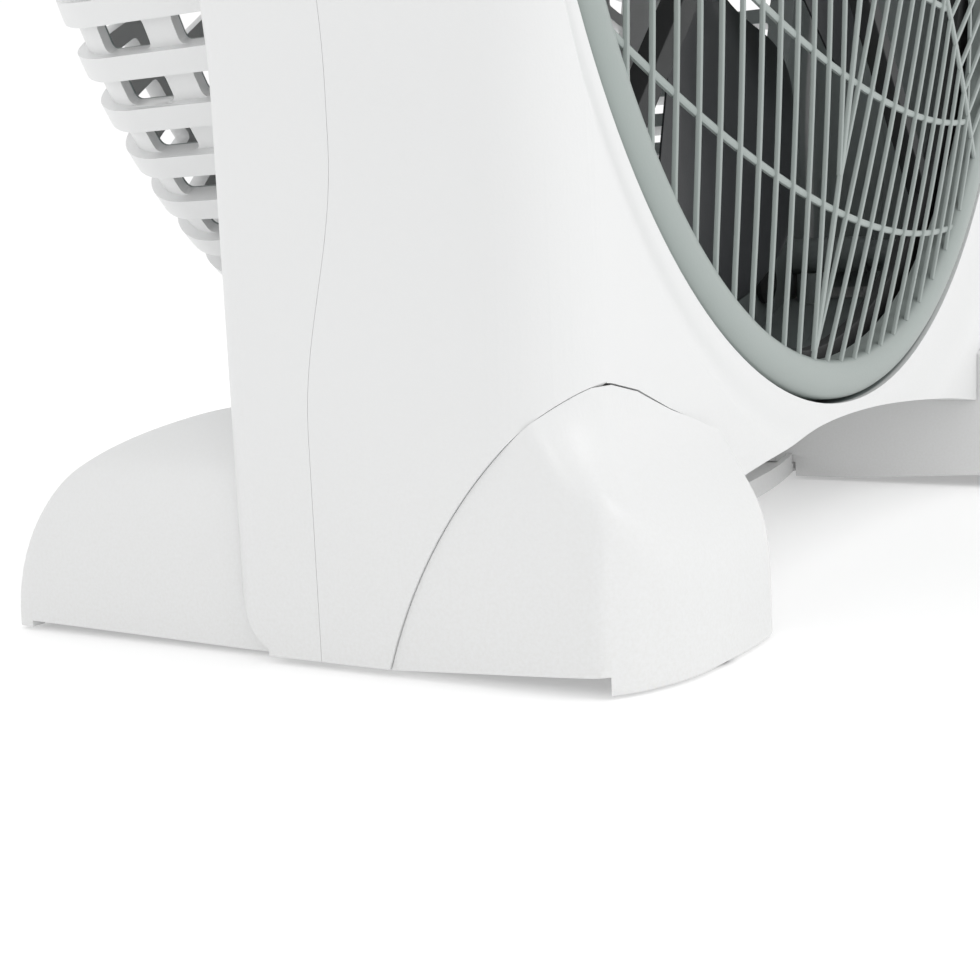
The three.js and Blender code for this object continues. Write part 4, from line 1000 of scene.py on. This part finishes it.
def front_bell():
    """Front half of the motor's case, with vents."""
    e = 10.0
    body = turned("motor_front_bell_cover", [
        (5.0, e), (13.0, e + 1.4), (15.0, e + 2.0), (36.0, e + 3.0), (39.2, e + 4.4), (41.2, e + 6.4),
        (42.0, e + 9.2), (42.0, 37.85), (39.5, 37.85), (39.5, e + 10.0), (35.0, e + 5.5),
        (11.3, e + 5.5), (11.3, e + 9.0), (9.3, e + 9.0), (9.3, e + 2.2), (5.0, e + 2.2)],
        120, closed=True)
    slot = rounded([(19.0, AXIS - 2.0), (32.0, AXIS - 2.6), (32.0, AXIS + 2.6),
                    (19.0, AXIS + 2.0)], 1.6, 4)
    boolean(body, around(prism("vent", slot, 5.0, 18.0), 12, 0.0))
    return eased(body, 0.3, 2)


def rear_bell():
    """Rear half of the motor's case, with vents and screw holes."""
    e = 66.0
    body = turned("motor_rear_bell_cover", [
        (0.0, e), (39.0, e), (40.6, e - 0.6), (41.6, e - 1.8), (42.0, e - 3.4), (42.0, 38.15),
        (39.5, 38.15), (39.5, e - 5.0), (11.3, e - 5.0), (11.3, e - 9.0), (9.3, e - 9.0),
        (9.3, e - 2.0), (0.0, e - 2.0)], 120)
    for x, z in on_diagonals(MOTOR_SCREWS):
        boolean(body, rod("hole", PILOT, 50.0, 80.0, x, z))
    vent = prism("vent", rounded([(42.0, AXIS - 1.6), (56.0, AXIS - 1.6), (56.0, AXIS + 1.6),
                                  (42.0, AXIS + 1.6)], 1.4, 4), 36.0, 46.0, "X")
    boolean(body, around(vent, 16, math.radians(11.25)))
    return eased(body, 0.3, 2)


def stator():
    """Winding and stack of the motor."""
    coil = smooth(turned("coil", [
        (27.2, 26.2), (28.4, 24.4), (31.0, 23.0), (34.8, 23.0), (36.4, 24.6), (37.0, 27.0),
        (37.0, 49.0), (36.4, 51.4), (34.8, 53.0), (31.0, 53.0), (28.4, 51.6), (27.2, 49.8)],
        96, closed=True), 80.0)
    stack = hollow("stack", 36.5, 39.1, 27.5, 48.5, 96)
    return gathered("stator_cover", [coil, smooth(stack)])


def rotor():
    """Rotor on the motor's shaft."""
    body = turned("rotor_cover", [
        (4.3, 24.0), (9.6, 24.0), (10.0, 24.4), (12.0, 27.0), (26.1, 27.0), (26.5, 27.4),
        (26.5, 48.6), (26.1, 49.0), (12.0, 49.0), (10.0, 51.6), (9.6, 52.0), (4.3, 52.0)],
        96, closed=True)
    return smooth(body)


def bearing(name, low, high):
    """Bearing with a groove in each face."""
    return smooth(turned(name, [
        (4.3, low), (5.8, low), (6.0, low + 0.5), (7.4, low + 0.5), (7.6, low), (8.7, low),
        (9.0, low + 0.3), (9.0, high - 0.3), (8.7, high), (7.6, high), (7.4, high - 0.5),
        (6.0, high - 0.5), (5.8, high), (4.3, high)], 72, closed=True))


# ---------------------------------------------------------------- screws
def screw(upright, x, other, head, length):
    """Pan head screw with a cross recess and a turned thread."""
    sign = 1.0 if upright else -1.0
    at = lambda d: head + sign * d
    profile = [(0.0, at(0.0)), (1.9, at(0.05)), (2.8, at(0.35)), (3.4, at(0.9)), (3.6, at(1.5)),
               (3.6, at(2.2)), (1.8, at(2.2))]
    turns = int((length - 4.0) / 1.4)
    for i in range(turns):
        d = 3.2 + i * 1.4
        profile += [(1.45, at(d)), (1.8, at(d + 0.6))]
    profile += [(1.4, at(length - 0.8)), (0.0, at(length))]
    body = turned("screw", profile, 20, (x, other), upright)
    arms = []
    for a in (0.0, math.pi / 2):
        c, s = math.cos(a), math.sin(a)
        corners = [(x + l * c - w * s, other + l * s + w * c)
                   for l, w in ((1.9, 0.42), (1.9, -0.42), (-1.9, -0.42), (-1.9, 0.42))]
        low, high = sorted((head - sign * 1.0, head + sign * 1.3))
        arms.append(prism("recess", corners, low, high, "Z" if upright else "Y"))
    boolean(body, arms)
    return smooth(body, 40.0)


def screw_group(name, places, upright, length):
    """Screws at several places, as one object."""
    return gathered(name, [screw(upright, x, other, head, length) for x, other, head in places])


# ---------------------------------------------------------------- feet
def curve(points, steps=6):
    """Smooth line through points, bent only by its neighbours."""
    out = []
    for i in range(len(points) - 1):
        a = Vector(points[max(i - 1, 0)])
        b = Vector(points[i])
        c = Vector(points[i + 1])
        d = Vector(points[min(i + 2, len(points) - 1)])
        for k in range(steps):
            t = k / steps
            p = (b * 2 + (c - a) * t + (a * 2 - b * 5 + c * 4 - d) * t * t
                 + (b * 3 - a - c * 3 + d) * t ** 3) / 2
            out.append((p.x, p.y))
    return out + [tuple(points[-1])]


def smooth_low(a, b, k):
    """The lower of two values, blended where they are close."""
    h = np.maximum(k - np.abs(a - b), 0.0) / k
    return np.minimum(a, b) - h * h * k / 4


def smooth_high(a, b, k):
    """The higher of two values, blended where they are close."""
    return -smooth_low(-a, -b, k)


TOE_LINE = curve([(100.0, -76.5), (105.0, -79.0), (118.0, -80.0), (138.0, -78.4),
                  (151.5, -74.0), (TOE_FLANK, -68.0)], 12)
CROWN = curve([(100.0, 38.0), (103.0, 42.5), (116.0, 47.5), (136.0, 50.0), (145.0, 47.0),
               (152.5, 41.5), (157.6, 34.0), (TOE_FLANK, 27.0)], 12)
POCKET = [(100.0, 41.3), (104.0, 42.5), (109.7, 44.7), (118.0, 47.2), (131.5, 52.1),
          (142.0, 54.3), (160.0, 54.4)]


def read_off(line, x):
    """Second value of a line of points, where its first value is x."""
    return np.interp(x, [p[0] for p in line], [p[1] for p in line])


def foot_depth(x, y, z, inset):
    """Below zero inside the foot: a dome run into the arch of the housing with a soft hollow."""
    up = np.maximum(z, 0.0)
    toe = y < FOOT_MID
    flank = FLANK if inset else np.interp(y, [-22.0, -10.0], [TOE_FLANK, FLANK])
    power = np.where(toe, 3.0, 2.0 / 0.93)
    reach = np.abs(y - FOOT_MID) / np.where(toe, 85.0, 75.0)
    share = (reach ** power + (up / FOOT_TOP) ** power) ** (1 / power)
    side = (1 - 1 / np.maximum(share, 1e-6)) * np.hypot(y - FOOT_MID, up)
    slope = read_off(CROWN, x + 0.5) - read_off(CROWN, x - 0.5)
    crown = (z - read_off(CROWN, x)) / np.sqrt(1 + slope * slope)
    bow = read_off(TOE_LINE, x + 0.5) - read_off(TOE_LINE, x - 0.5)
    front = (read_off(TOE_LINE, x) - y) / np.sqrt(1 + bow * bow)
    edge = smooth_high(front, x - flank, 1.6)
    lobe = smooth_high(smooth_high(side, crown, 3.0), edge, 3.0)
    lobe = smooth_high(lobe, 100.0 - x, 3.0)
    corner = np.hypot(np.maximum(x - POCKET_SIDE, 0.0) / 15.4,
                      np.maximum(-48.0 - y, 0.0) / 15.85)
    room = np.maximum.reduce([(corner - 1) * 13.7, -63.85 - y, y - 13.5, x - flank])
    joined = smooth_low(lobe, room, np.interp(y, [-36.0, -8.0], [12.0, 0.5]))
    joined = smooth_high(joined, x - flank, 2.0)
    roof = np.where(y < 15.5, z - read_off(POCKET, x) - (0.0 if inset else 4.0), -9.0)
    return np.maximum.reduce([joined, roof, x - flank, 100.0 - x, -80.0 - y, y - 80.0]) + inset


def foot_form(inset, count=480, upward=96):
    """The foot's outer form as a closed body, found along rays from a line inside it."""
    turns = np.array([TAU * i / count for i in range(count)])
    lifts = np.array([math.pi / 2 * i / upward for i in range(upward + 1)])
    az, up = np.meshgrid(turns, lifts, indexing="ij")
    ox, oy, oz = 128.5, 5.0 + 48.0 * np.sin(az), -5.0
    dx, dy, dz = np.cos(az) * np.cos(up), np.sin(az) * np.cos(up), np.sin(up)
    near, far = np.zeros_like(az), np.full_like(az, 120.0)
    for _ in range(26):
        mid = (near + far) / 2
        out = foot_depth(ox + dx * mid, oy + dy * mid, oz + dz * mid, inset) > 0
        far = np.where(out, mid, far)
        near = np.where(out, near, mid)
    grid = np.stack([ox + dx * near, oy + dy * near, oz + dz * near], axis=-1)
    low = grid[:, 0].copy()
    low[:, 2] = -14.0
    verts = [tuple(p) for p in low] + [tuple(p) for ring in grid.transpose(1, 0, 2) for p in ring]
    faces = [tuple(range(count - 1, -1, -1))]
    for a in range(0, (upward + 1) * count, count):
        b = a + count
        for i in range(count):
            j = (i + 1) % count
            faces.append((a + i, a + j, b + j, b + i))
    return mesh_object("foot", verts, faces)


def foot(sign):
    """Foot with its screw seats, pad holes and bridge post; the left one is mirrored."""
    body = foot_form(0.0)
    top = [(60.0, 41.3)] + POCKET + [(190.0, 54.4), (190.0, 95.0), (60.0, 95.0)]
    boolean(body, prism("under the housing", top, -95.0, 15.5))
    behind = [(-24.15, -40.0)] + [(y - 0.15, z) for y, z in arch_curve()]
    behind += [(-64.15, 90.0), (90.0, 90.0), (90.0, -40.0)]
    skirt = prism("behind the arch", behind, 140.0, 200.0, "X")
    boolean(skirt, rounded_block("room", WALL + 0.4, FACE + WALL + 0.4, 100.0, 13.1, 5.0))
    boolean(body, skirt)
    boolean(body, foot_form(3.0, 120, 30))
    boolean(body, block("floor", (0.0, -300.0, -60.0), (300.0, 300.0, 0.8)))
    step = [(-70.0, -60.0), (75.0, -60.0), (75.0, 2.2), (15.0, 1.4), (-24.0, 1.4), (-70.0, 4.2)]
    boolean(body, prism("step", step, 0.0, 300.0, "X"))
    boolean(body, block("tab way", (90.0, -5.0, -10.0), (120.3, 15.0, 6.0)))
    for y in FOOT_SCREW_YS:
        boolean(body, post("seat", 6.0, 41.9, 53.7, FOOT_SCREW_X, y), "UNION")
        boolean(body, post("hole", PILOT, 30.0, 80.0, FOOT_SCREW_X, y))
        boolean(body, post("head room", 4.6, 10.0, 44.0, FOOT_SCREW_X, y))
    boolean(body, post("bridge post", 5.0, 6.0, 44.0, BRIDGE_X, BRIDGE_Y), "UNION")
    boolean(body, post("bridge hole", PILOT, -5.0, 18.0, BRIDGE_X, BRIDGE_Y))
    for y in PAD_YS:
        seat = post("pad seat", 7.4, 0.8, 9.0, PAD_X, y, 40)
        boolean(seat, foot_form(1.0, 120, 30), "INTERSECT")
        boolean(body, seat, "UNION")
        boolean(body, post("pad hole", 5.8, -5.0, 2.3, PAD_X, y, 40))
        boolean(body, post("pin hole", 2.5, -5.0, 8.0, PAD_X, y, 24))
    if sign < 0:
        for v in body.data.vertices:
            v.co.x = -v.co.x
        body.data.flip_normals()
    body.name = "foot_%s_cover" % ("right" if sign > 0 else "left")
    return smooth(body, 30.0)


def foot_pad(name, sign, y):
    """Rubber pad with its pin."""
    return smooth(turned(name, [
        (0.0, 0.0), (4.9, 0.0), (5.3, 0.2), (5.5, 0.6), (5.5, 1.7), (5.2, 2.0), (2.2, 2.0),
        (2.2, 6.4), (1.7, 7.0), (0.0, 7.0)], 48, (sign * PAD_X, y), upright=True))


def base_bridge():
    """Plate between the feet, with a rim on both edges and a tab at each end."""
    reach = 99.7
    def edge(x, out):
        return BRIDGE_Y + out * (21.6 - 0.00126 * x * x)
    xs = [-reach + 2 * reach * i / 60 for i in range(61)]
    plate = prism("base_bridge_cover", [(x, edge(x, -1)) for x in xs]
                  + [(x, edge(x, 1)) for x in reversed(xs)], 2.8, 5.7, "Z")
    for out in (-1, 1):
        line = [(x, edge(x, out)) for x in xs]
        line += [(x, edge(x, out) - out * 2.0) for x in reversed(xs)]
        boolean(plate, prism("rim", line, 2.8, 8.7, "Z"), "UNION")
    for sign in (-1, 1):
        x0, x1 = sorted((sign * 96.0, sign * 120.0))
        boolean(plate, block("tab", (x0, -4.0, 2.8), (x1, 14.0, 5.7)), "UNION")
        boolean(plate, post("hole", PILOT, -5.0, 18.0, sign * BRIDGE_X, BRIDGE_Y))
    return eased(plate, 0.7, 3)


# ---------------------------------------------------------------- controls
DIAL_Y = -35.0
PANEL_Z = 383.0


def control_panel():
    """Panel with holes for stems and rocker, and two marks beside the speed knob."""
    shape = rounded([(-70.0, -47.0), (70.0, -47.0), (70.0, -23.5), (-70.0, -23.5)], 2.5, 6)
    body = prism("control_panel_cover", shape, 380.5, PANEL_Z, "Z")
    for x in (SPEED_X, TIMER_X):
        boolean(body, post("stem hole", 3.3, 370.0, 390.0, x, DIAL_Y))
    boolean(body, block("rocker hole", (38.2, DIAL_Y - 4.8, 370.0), (53.8, DIAL_Y + 4.8, 390.0)))
    for a in (math.radians(150.0), math.radians(30.0)):
        x, y = SPEED_X + 16.5 * math.cos(a), DIAL_Y + 12.2 * math.sin(a)
        boolean(body, post("mark", 0.7, PANEL_Z - 0.4, PANEL_Z + 2.0, x, y, 20))
    return eased(body, 0.3, 2)


def knob(name, x):
    """Knob with a grip bar and a pointer groove."""
    z = PANEL_Z + 0.3
    base = turned(name, [
        (0.0, z), (10.6, z), (11.0, z + 0.4), (11.0, z + 2.6), (10.6, z + 3.2), (9.6, z + 4.0),
        (9.2, z + 4.6), (8.6, z + 5.0), (0.0, z + 5.0)], 96, (x, DIAL_Y), upright=True)
    bar = prism("bar", rounded([
        (DIAL_Y - 9.0, z + 4.0), (DIAL_Y + 9.0, z + 4.0), (DIAL_Y + 8.2, z + 12.0),
        (DIAL_Y + 6.4, z + 13.0), (DIAL_Y - 6.4, z + 13.0), (DIAL_Y - 8.2, z + 12.0)], 1.4, 5),
        x - 2.6, x + 2.6, "X")
    boolean(base, bar, "UNION")
    boolean(base, block("pointer", (x - 0.5, DIAL_Y - 9.5, z + 12.3),
                        (x + 0.5, DIAL_Y - 1.0, z + 16.0)))
    boolean(base, post("stem", 3.0, PANEL_Z - 9.0, z + 1.0, x, DIAL_Y), "UNION")
    return eased(base, 0.35, 3)


def grille_rocker():
    """Rocker with a hollow top."""
    x, z = ROCKER_X, PANEL_Z
    side = [(x - 7.0, z + 1.8), (x - 7.0, z - 2.2), (x - 4.0, z - 6.0), (x + 4.0, z - 6.0),
            (x + 7.0, z - 2.2), (x + 7.0, z + 1.8)]
    side += bend(side[-1], (x, z - 0.4), side[0], 14)[1:-1]
    body = prism("grille_rocker_cover", side, DIAL_Y - 4.5, DIAL_Y + 4.5)
    return eased(body, 0.4, 3)


def switch_box(name, x, half, depth, bore):
    """Switch under the panel, open for a stem or for the rocker."""
    z1 = PANEL_Z - 2.8
    shape = rounded([(x - half, DIAL_Y - 7.5), (x + half, DIAL_Y - 7.5), (x + half, DIAL_Y + 7.5),
                     (x - half, DIAL_Y + 7.5)], 1.2, 3)
    body = prism(name, shape, z1 - depth, z1, "Z")
    if bore:
        boolean(body, post("bore", 3.3, PANEL_Z - 9.3, z1 + 5.0, x, DIAL_Y))
    else:
        boolean(body, block("pocket", (x - 8.0, DIAL_Y - 4.8, z1 - 7.0),
                            (x + 8.0, DIAL_Y + 4.8, z1 + 5.0)))
    return eased(body, 0.3, 2)


def inlet_bush():
    """Bush in the cord hole of the rear shell."""
    y = 12.5
    return smooth(turned("inlet_bush_cover", [
        (3.4, y - 3.0), (5.6, y - 2.7), (7.0, y - 2.0), (7.0, y - 0.3), (5.0, y - 0.3), (5.0, 15.3),
        (7.8, 15.3), (8.0, 15.6), (8.0, 16.3), (7.6, 16.8), (6.0, 17.5), (3.4, 17.5), (3.0, 17.1),
        (3.0, y - 2.6)], 64, (118.0, 64.0), closed=True))


# ---------------------------------------------------------------- settings
class BoxFanSettings(bpy.types.PropertyGroup):
    """Sizes and colours of the box fan that a user may change."""

    shell_colour: bpy.props.FloatVectorProperty(
        name="Housing colour", description="Colour of the housing, feet and knobs",
        default=(0.72, 0.725, 0.725), subtype="COLOR", size=3, min=0.0, max=1.0)
    # Painted shade: the colour the inner walls are darkened to, standing in for the shade behind the
    # grille.
    inside_painted_shade: bpy.props.FloatVectorProperty(
        name="Inside painted shade", description="Painted shade on the inner walls behind the grille",
        default=(0.25, 0.28, 0.278), subtype="COLOR", size=3, min=0.0, max=1.0)
    grille_colour: bpy.props.FloatVectorProperty(
        name="Grille colour", description="Colour of the turning front grille",
        default=(0.315, 0.355, 0.34), subtype="COLOR", size=3, min=0.0, max=1.0)
    fan_colour: bpy.props.FloatVectorProperty(
        name="Blade colour", description="Colour of the fan blades",
        default=(0.03, 0.032, 0.035), subtype="COLOR", size=3, min=0.0, max=1.0)
    slat_count: bpy.props.IntProperty(
        name="Slats per half petal", description="Slats on each side of a petal's spine",
        default=15, min=4, max=20)
    slat_pitch: bpy.props.FloatProperty(
        name="Slat pitch", description="Distance between neighbouring slats, in mm",
        default=9.3, min=6.0, max=14.0)
    slat_width: bpy.props.FloatProperty(
        name="Slat width", description="Width of a slat seen from the front, in mm",
        default=1.4, min=0.8, max=3.0)
    blade_count: bpy.props.IntProperty(
        name="Blades", description="Number of fan blades", default=5, min=3, max=7)
    floor_tone: bpy.props.FloatProperty(
        name="Floor tone", description="Lightness of the studio floor",
        default=0.76, min=0.2, max=1.0, subtype="FACTOR")


def settings_of(context):
    """The box fan's settings in the scene."""
    return context.scene.box_fan


# ---------------------------------------------------------------- operators
class BOXFAN_OT_housing(bpy.types.Operator):
    """Make the two halves of the housing"""
    bl_idname = "box_fan.housing"
    bl_label = "Housing"

    def execute(self, context):
        # The inner walls of both halves get painted shade.
        finished(front_shell(), "shell_white", "housing", "front_shell", look="shell_painted_shade")
        finished(rear_shell(), "shell_white", "housing", "rear_shell", look="shell_painted_shade")
        return {"FINISHED"}


class BOXFAN_OT_cage(bpy.types.Operator):
    """Make the rear basket"""
    bl_idname = "box_fan.cage"
    bl_label = "Rear cage"

    def execute(self, context):
        # The cage's inner wall gets painted shade.
        finished(rear_cage(), "shell_white", "housing", "rear_cage", look="shell_painted_shade")
        return {"FINISHED"}


class BOXFAN_OT_grille(bpy.types.Operator):
    """Make the turning front grille with its cap and shaft"""
    bl_idname = "box_fan.grille"
    bl_label = "Front grille"

    def execute(self, context):
        finished(front_grille(settings_of(context)), "grille_grey", "grille", "front_grille")
        finished(grille_cap(), "shell_white", "grille", "grille_cap")
        finished(shaft("grille_shaft_cover", 4.0, -66.1, -57.3), "steel", "grille", "grille_shaft")
        return {"FINISHED"}


class BOXFAN_OT_carrier(bpy.types.Operator):
    """Make the spider behind the grille and the small drive in its cup"""
    bl_idname = "box_fan.carrier"
    bl_label = "Spider and grille drive"

    def execute(self, context):
        finished(front_spider(), "dark_plastic", "housing", "front_spider")
        finished(grille_motor(), "motor_paint", "housing", "grille_motor")
        return {"FINISHED"}


class BOXFAN_OT_fan(bpy.types.Operator):
    """Make the fan wheel and the nut that holds it"""
    bl_idname = "box_fan.fan"
    bl_label = "Fan wheel"

    def execute(self, context):
        finished(fan_blade(settings_of(context)), "fan_plastic", "fan", "fan_blade")
        finished(blade_nut(), "dark_plastic", "fan", "blade_nut")
        return {"FINISHED"}


class BOXFAN_OT_motor(bpy.types.Operator):
    """Make the fan motor: bells, winding, rotor, shaft and bearings"""
    bl_idname = "box_fan.motor"
    bl_label = "Fan motor"

    def execute(self, context):
        finished(front_bell(), "motor_paint", "housing", "motor_front_bell")
        finished(rear_bell(), "motor_paint", "housing", "motor_rear_bell")
        finished(stator(), "copper", "housing", "stator")
        finished(rotor(), "steel", "fan", "rotor")
        finished(shaft("motor_shaft_cover", 4.0, -29.0, 62.0), "steel", "fan", "motor_shaft")
        finished(bearing("bearing_front_cover", 12.3, 18.0), "steel", "housing", "bearing_front")
        finished(bearing("bearing_rear_cover", 58.0, 63.7), "steel", "housing", "bearing_rear")
        return {"FINISHED"}


class BOXFAN_OT_screws(bpy.types.Operator):
    """Make the screws"""
    bl_idname = "box_fan.screws"
    bl_label = "Screws"

    def execute(self, context):
        one_to_four = lambda name: ["%s_%d" % (name, k) for k in range(1, 5)]
        for place, radius, head, length in (("motor", MOTOR_SCREWS, 75.5, 15.5),
                                            ("spider", EARS, -42.2, 15.0)):
            ring = around(screw(False, radius, AXIS, head, length), 4, math.radians(45.0))
            ring.name = place + "_screws_cover"
            finished(ring, "steel", "housing", *one_to_four(place + "_screw"))
        corners = [(x, z, 13.5) for x, z in CORNERS]
        finished(screw_group("housing_screws_cover", corners, False, 52.0), "steel", "housing",
                 *one_to_four("housing_screw"))
        under = [(s * FOOT_SCREW_X, y, 41.5) for s in (-1, 1) for y in FOOT_SCREW_YS]
        finished(screw_group("foot_screws_cover", under, True, 20.0), "steel", "housing",
                 "foot_screw_front_left", "foot_screw_front_right",
                 "foot_screw_rear_left", "foot_screw_rear_right")
        ends = [(s * BRIDGE_X, BRIDGE_Y, 0.3) for s in (-1, 1)]
        finished(screw_group("bridge_screws_cover", ends, True, 16.0), "steel", "housing",
                 "bridge_screw_left", "bridge_screw_right")
        return {"FINISHED"}


class BOXFAN_OT_feet(bpy.types.Operator):
    """Make the feet, their rubber pads and the bridge between them"""
    bl_idname = "box_fan.feet"
    bl_label = "Feet and bridge"

    def execute(self, context):
        for sign, hand in ((-1, "left"), (1, "right")):
            finished(foot(sign), "shell_white", "housing", "foot_" + hand)
            for y, place in zip(PAD_YS, ("front", "rear")):
                node = "foot_pad_%s_%s" % (place, hand)
                finished(foot_pad(node + "_cover", sign, y), "rubber", "housing", node)
        finished(base_bridge(), "shell_white", "housing", "base_bridge")
        return {"FINISHED"}


class BOXFAN_OT_controls(bpy.types.Operator):
    """Make the panel, knobs, rocker and the switches under them"""
    bl_idname = "box_fan.controls"
    bl_label = "Controls"

    def execute(self, context):
        finished(control_panel(), "grille_grey", "housing", "control_panel")
        for name, x in (("speed_knob", SPEED_X), ("timer_knob", TIMER_X)):
            finished(knob(name + "_cover", x), "shell_white", name + "_body", name)
        finished(grille_rocker(), "shell_white", "rocker", "grille_rocker")
        for name, x, half, depth, bore in (("speed_switch", SPEED_X, 11.0, 13.0, True),
                                           ("timer_body", TIMER_X, 12.0, 14.0, True),
                                           ("rocker_body", ROCKER_X, 10.0, 12.0, False)):
            finished(switch_box(name + "_cover", x, half, depth, bore),
                     "dark_plastic", "housing", name)
        finished(inlet_bush(), "dark_plastic", "housing", "inlet_bush")
        return {"FINISHED"}


def area_light(name, place, target, size, power):
    """A rectangular light that faces its target."""
    lamp = bpy.data.lights.new(name, "AREA")
    lamp.shape = "RECTANGLE"
    lamp.size, lamp.size_y = size
    lamp.energy = power
    made = bpy.data.objects.new(name, lamp)
    bpy.context.scene.collection.objects.link(made)
    made.location = place
    made.rotation_euler = (Vector(target) - Vector(place)).to_track_quat("-Z", "Y").to_euler()
    return made


def place_camera():
    """Looks at the lower corner of the grille side from close by."""
    yaw, dip, roll = math.radians(31.8), math.radians(-8.39), math.radians(-2.49)
    ahead = Vector((math.cos(dip) * math.cos(yaw), math.cos(dip) * math.sin(yaw), math.sin(dip)))
    right = Vector((math.sin(yaw), -math.cos(yaw), 0.0))
    up = right.cross(ahead)
    across = right * math.cos(roll) + up * math.sin(roll)
    above = -right * math.sin(roll) + up * math.cos(roll)
    data = bpy.data.cameras.new("Camera")
    data.lens = 60.69
    data.sensor_width = 36.0
    data.clip_start = 0.01
    camera = bpy.data.objects.new("Camera", data)
    bpy.context.scene.collection.objects.link(camera)
    turn = Matrix((across, above, -ahead)).transposed().to_4x4()
    camera.matrix_world = Matrix.Translation((-0.4081, -0.2020, 0.0801)) @ turn
    bpy.context.scene.camera = camera


class BOXFAN_OT_stage(bpy.types.Operator):
    """Make the floor, the lights and the camera"""
    bl_idname = "box_fan.stage"
    bl_label = "Stage"

    def execute(self, context):
        tone = settings_of(context).floor_tone
        reach = 40000.0
        floor = mesh_object("studio_floor", [
            (-reach, -reach, 0.0), (reach, -reach, 0.0),
            (reach, reach, 0.0), (-reach, reach, 0.0)], [(0, 1, 2, 3)])
        paper = Finish("Studio paper", Roughness=0.9, Emission_Color=(1.0, 1.0, 1.0, 1.0),
                       Emission_Strength=0.3)
        paper.feed("Base Color", paper.blend(
            paper.ramp(paper.noise(6.0, 2.0), 0.3, 0.7), (tone,) * 3, (tone * 0.99,) * 3))
        floor.data.materials.append(paper.material)
        world = bpy.data.worlds.new("Studio")
        world.use_nodes = True
        sky = world.node_tree.nodes["Background"]
        sky.inputs["Color"].default_value = (1.0, 1.0, 1.0, 1.0)
        sky.inputs["Strength"].default_value = 1.03
        context.scene.world = world
        context.scene.view_settings.view_transform = "Standard"
        area_light("Key light", (0.2, -1.7, 1.2), (-0.1, 0.0, 0.1), (1.0, 1.0), 8.0)
        area_light("Fill light", (-1.6, 0.6, 0.9), (0.0, 0.0, 0.15), (1.2, 1.2), 1.0)
        area_light("Back light", (0.9, 1.4, 1.8), (0.0, 0.0, 0.2), (1.6, 1.2), 2.0)
        place_camera()
        return {"FINISHED"}


class BOXFAN_PT_panel(bpy.types.Panel):
    """Lists the makers of the box fan's pieces"""
    bl_idname = "BOXFAN_PT_panel"
    bl_label = "Box fan"
    bl_space_type = "VIEW_3D"
    bl_region_type = "UI"
    bl_category = "Box fan"

    def draw(self, context):
        settings = settings_of(context)
        column = self.layout.column()
        for name in BoxFanSettings.__annotations__:
            column.prop(settings, name)
        for step in STEPS:
            column.operator(step.bl_idname)


STEPS = (BOXFAN_OT_stage, BOXFAN_OT_housing, BOXFAN_OT_cage, BOXFAN_OT_grille,
         BOXFAN_OT_carrier, BOXFAN_OT_fan, BOXFAN_OT_motor, BOXFAN_OT_screws,
         BOXFAN_OT_feet, BOXFAN_OT_controls)


def register():
    """Makes the add-on's classes known to Blender."""
    for item in (BoxFanSettings,) + STEPS + (BOXFAN_PT_panel,):
        bpy.utils.register_class(item)
    bpy.types.Scene.box_fan = bpy.props.PointerProperty(type=BoxFanSettings)


def unregister():
    """Takes the add-on's classes out of Blender."""
    del bpy.types.Scene.box_fan
    for item in ((BoxFanSettings,) + STEPS + (BOXFAN_PT_panel,))[::-1]:
        bpy.utils.unregister_class(item)


def main():
    """Makes every piece."""
    register()
    finishes(settings_of(bpy.context))
    for step in STEPS:
        group, name = step.bl_idname.split(".")
        getattr(getattr(bpy.ops, group), name)()
    bpy.context.view_layer.update()


if __name__ == "__main__":
    main()
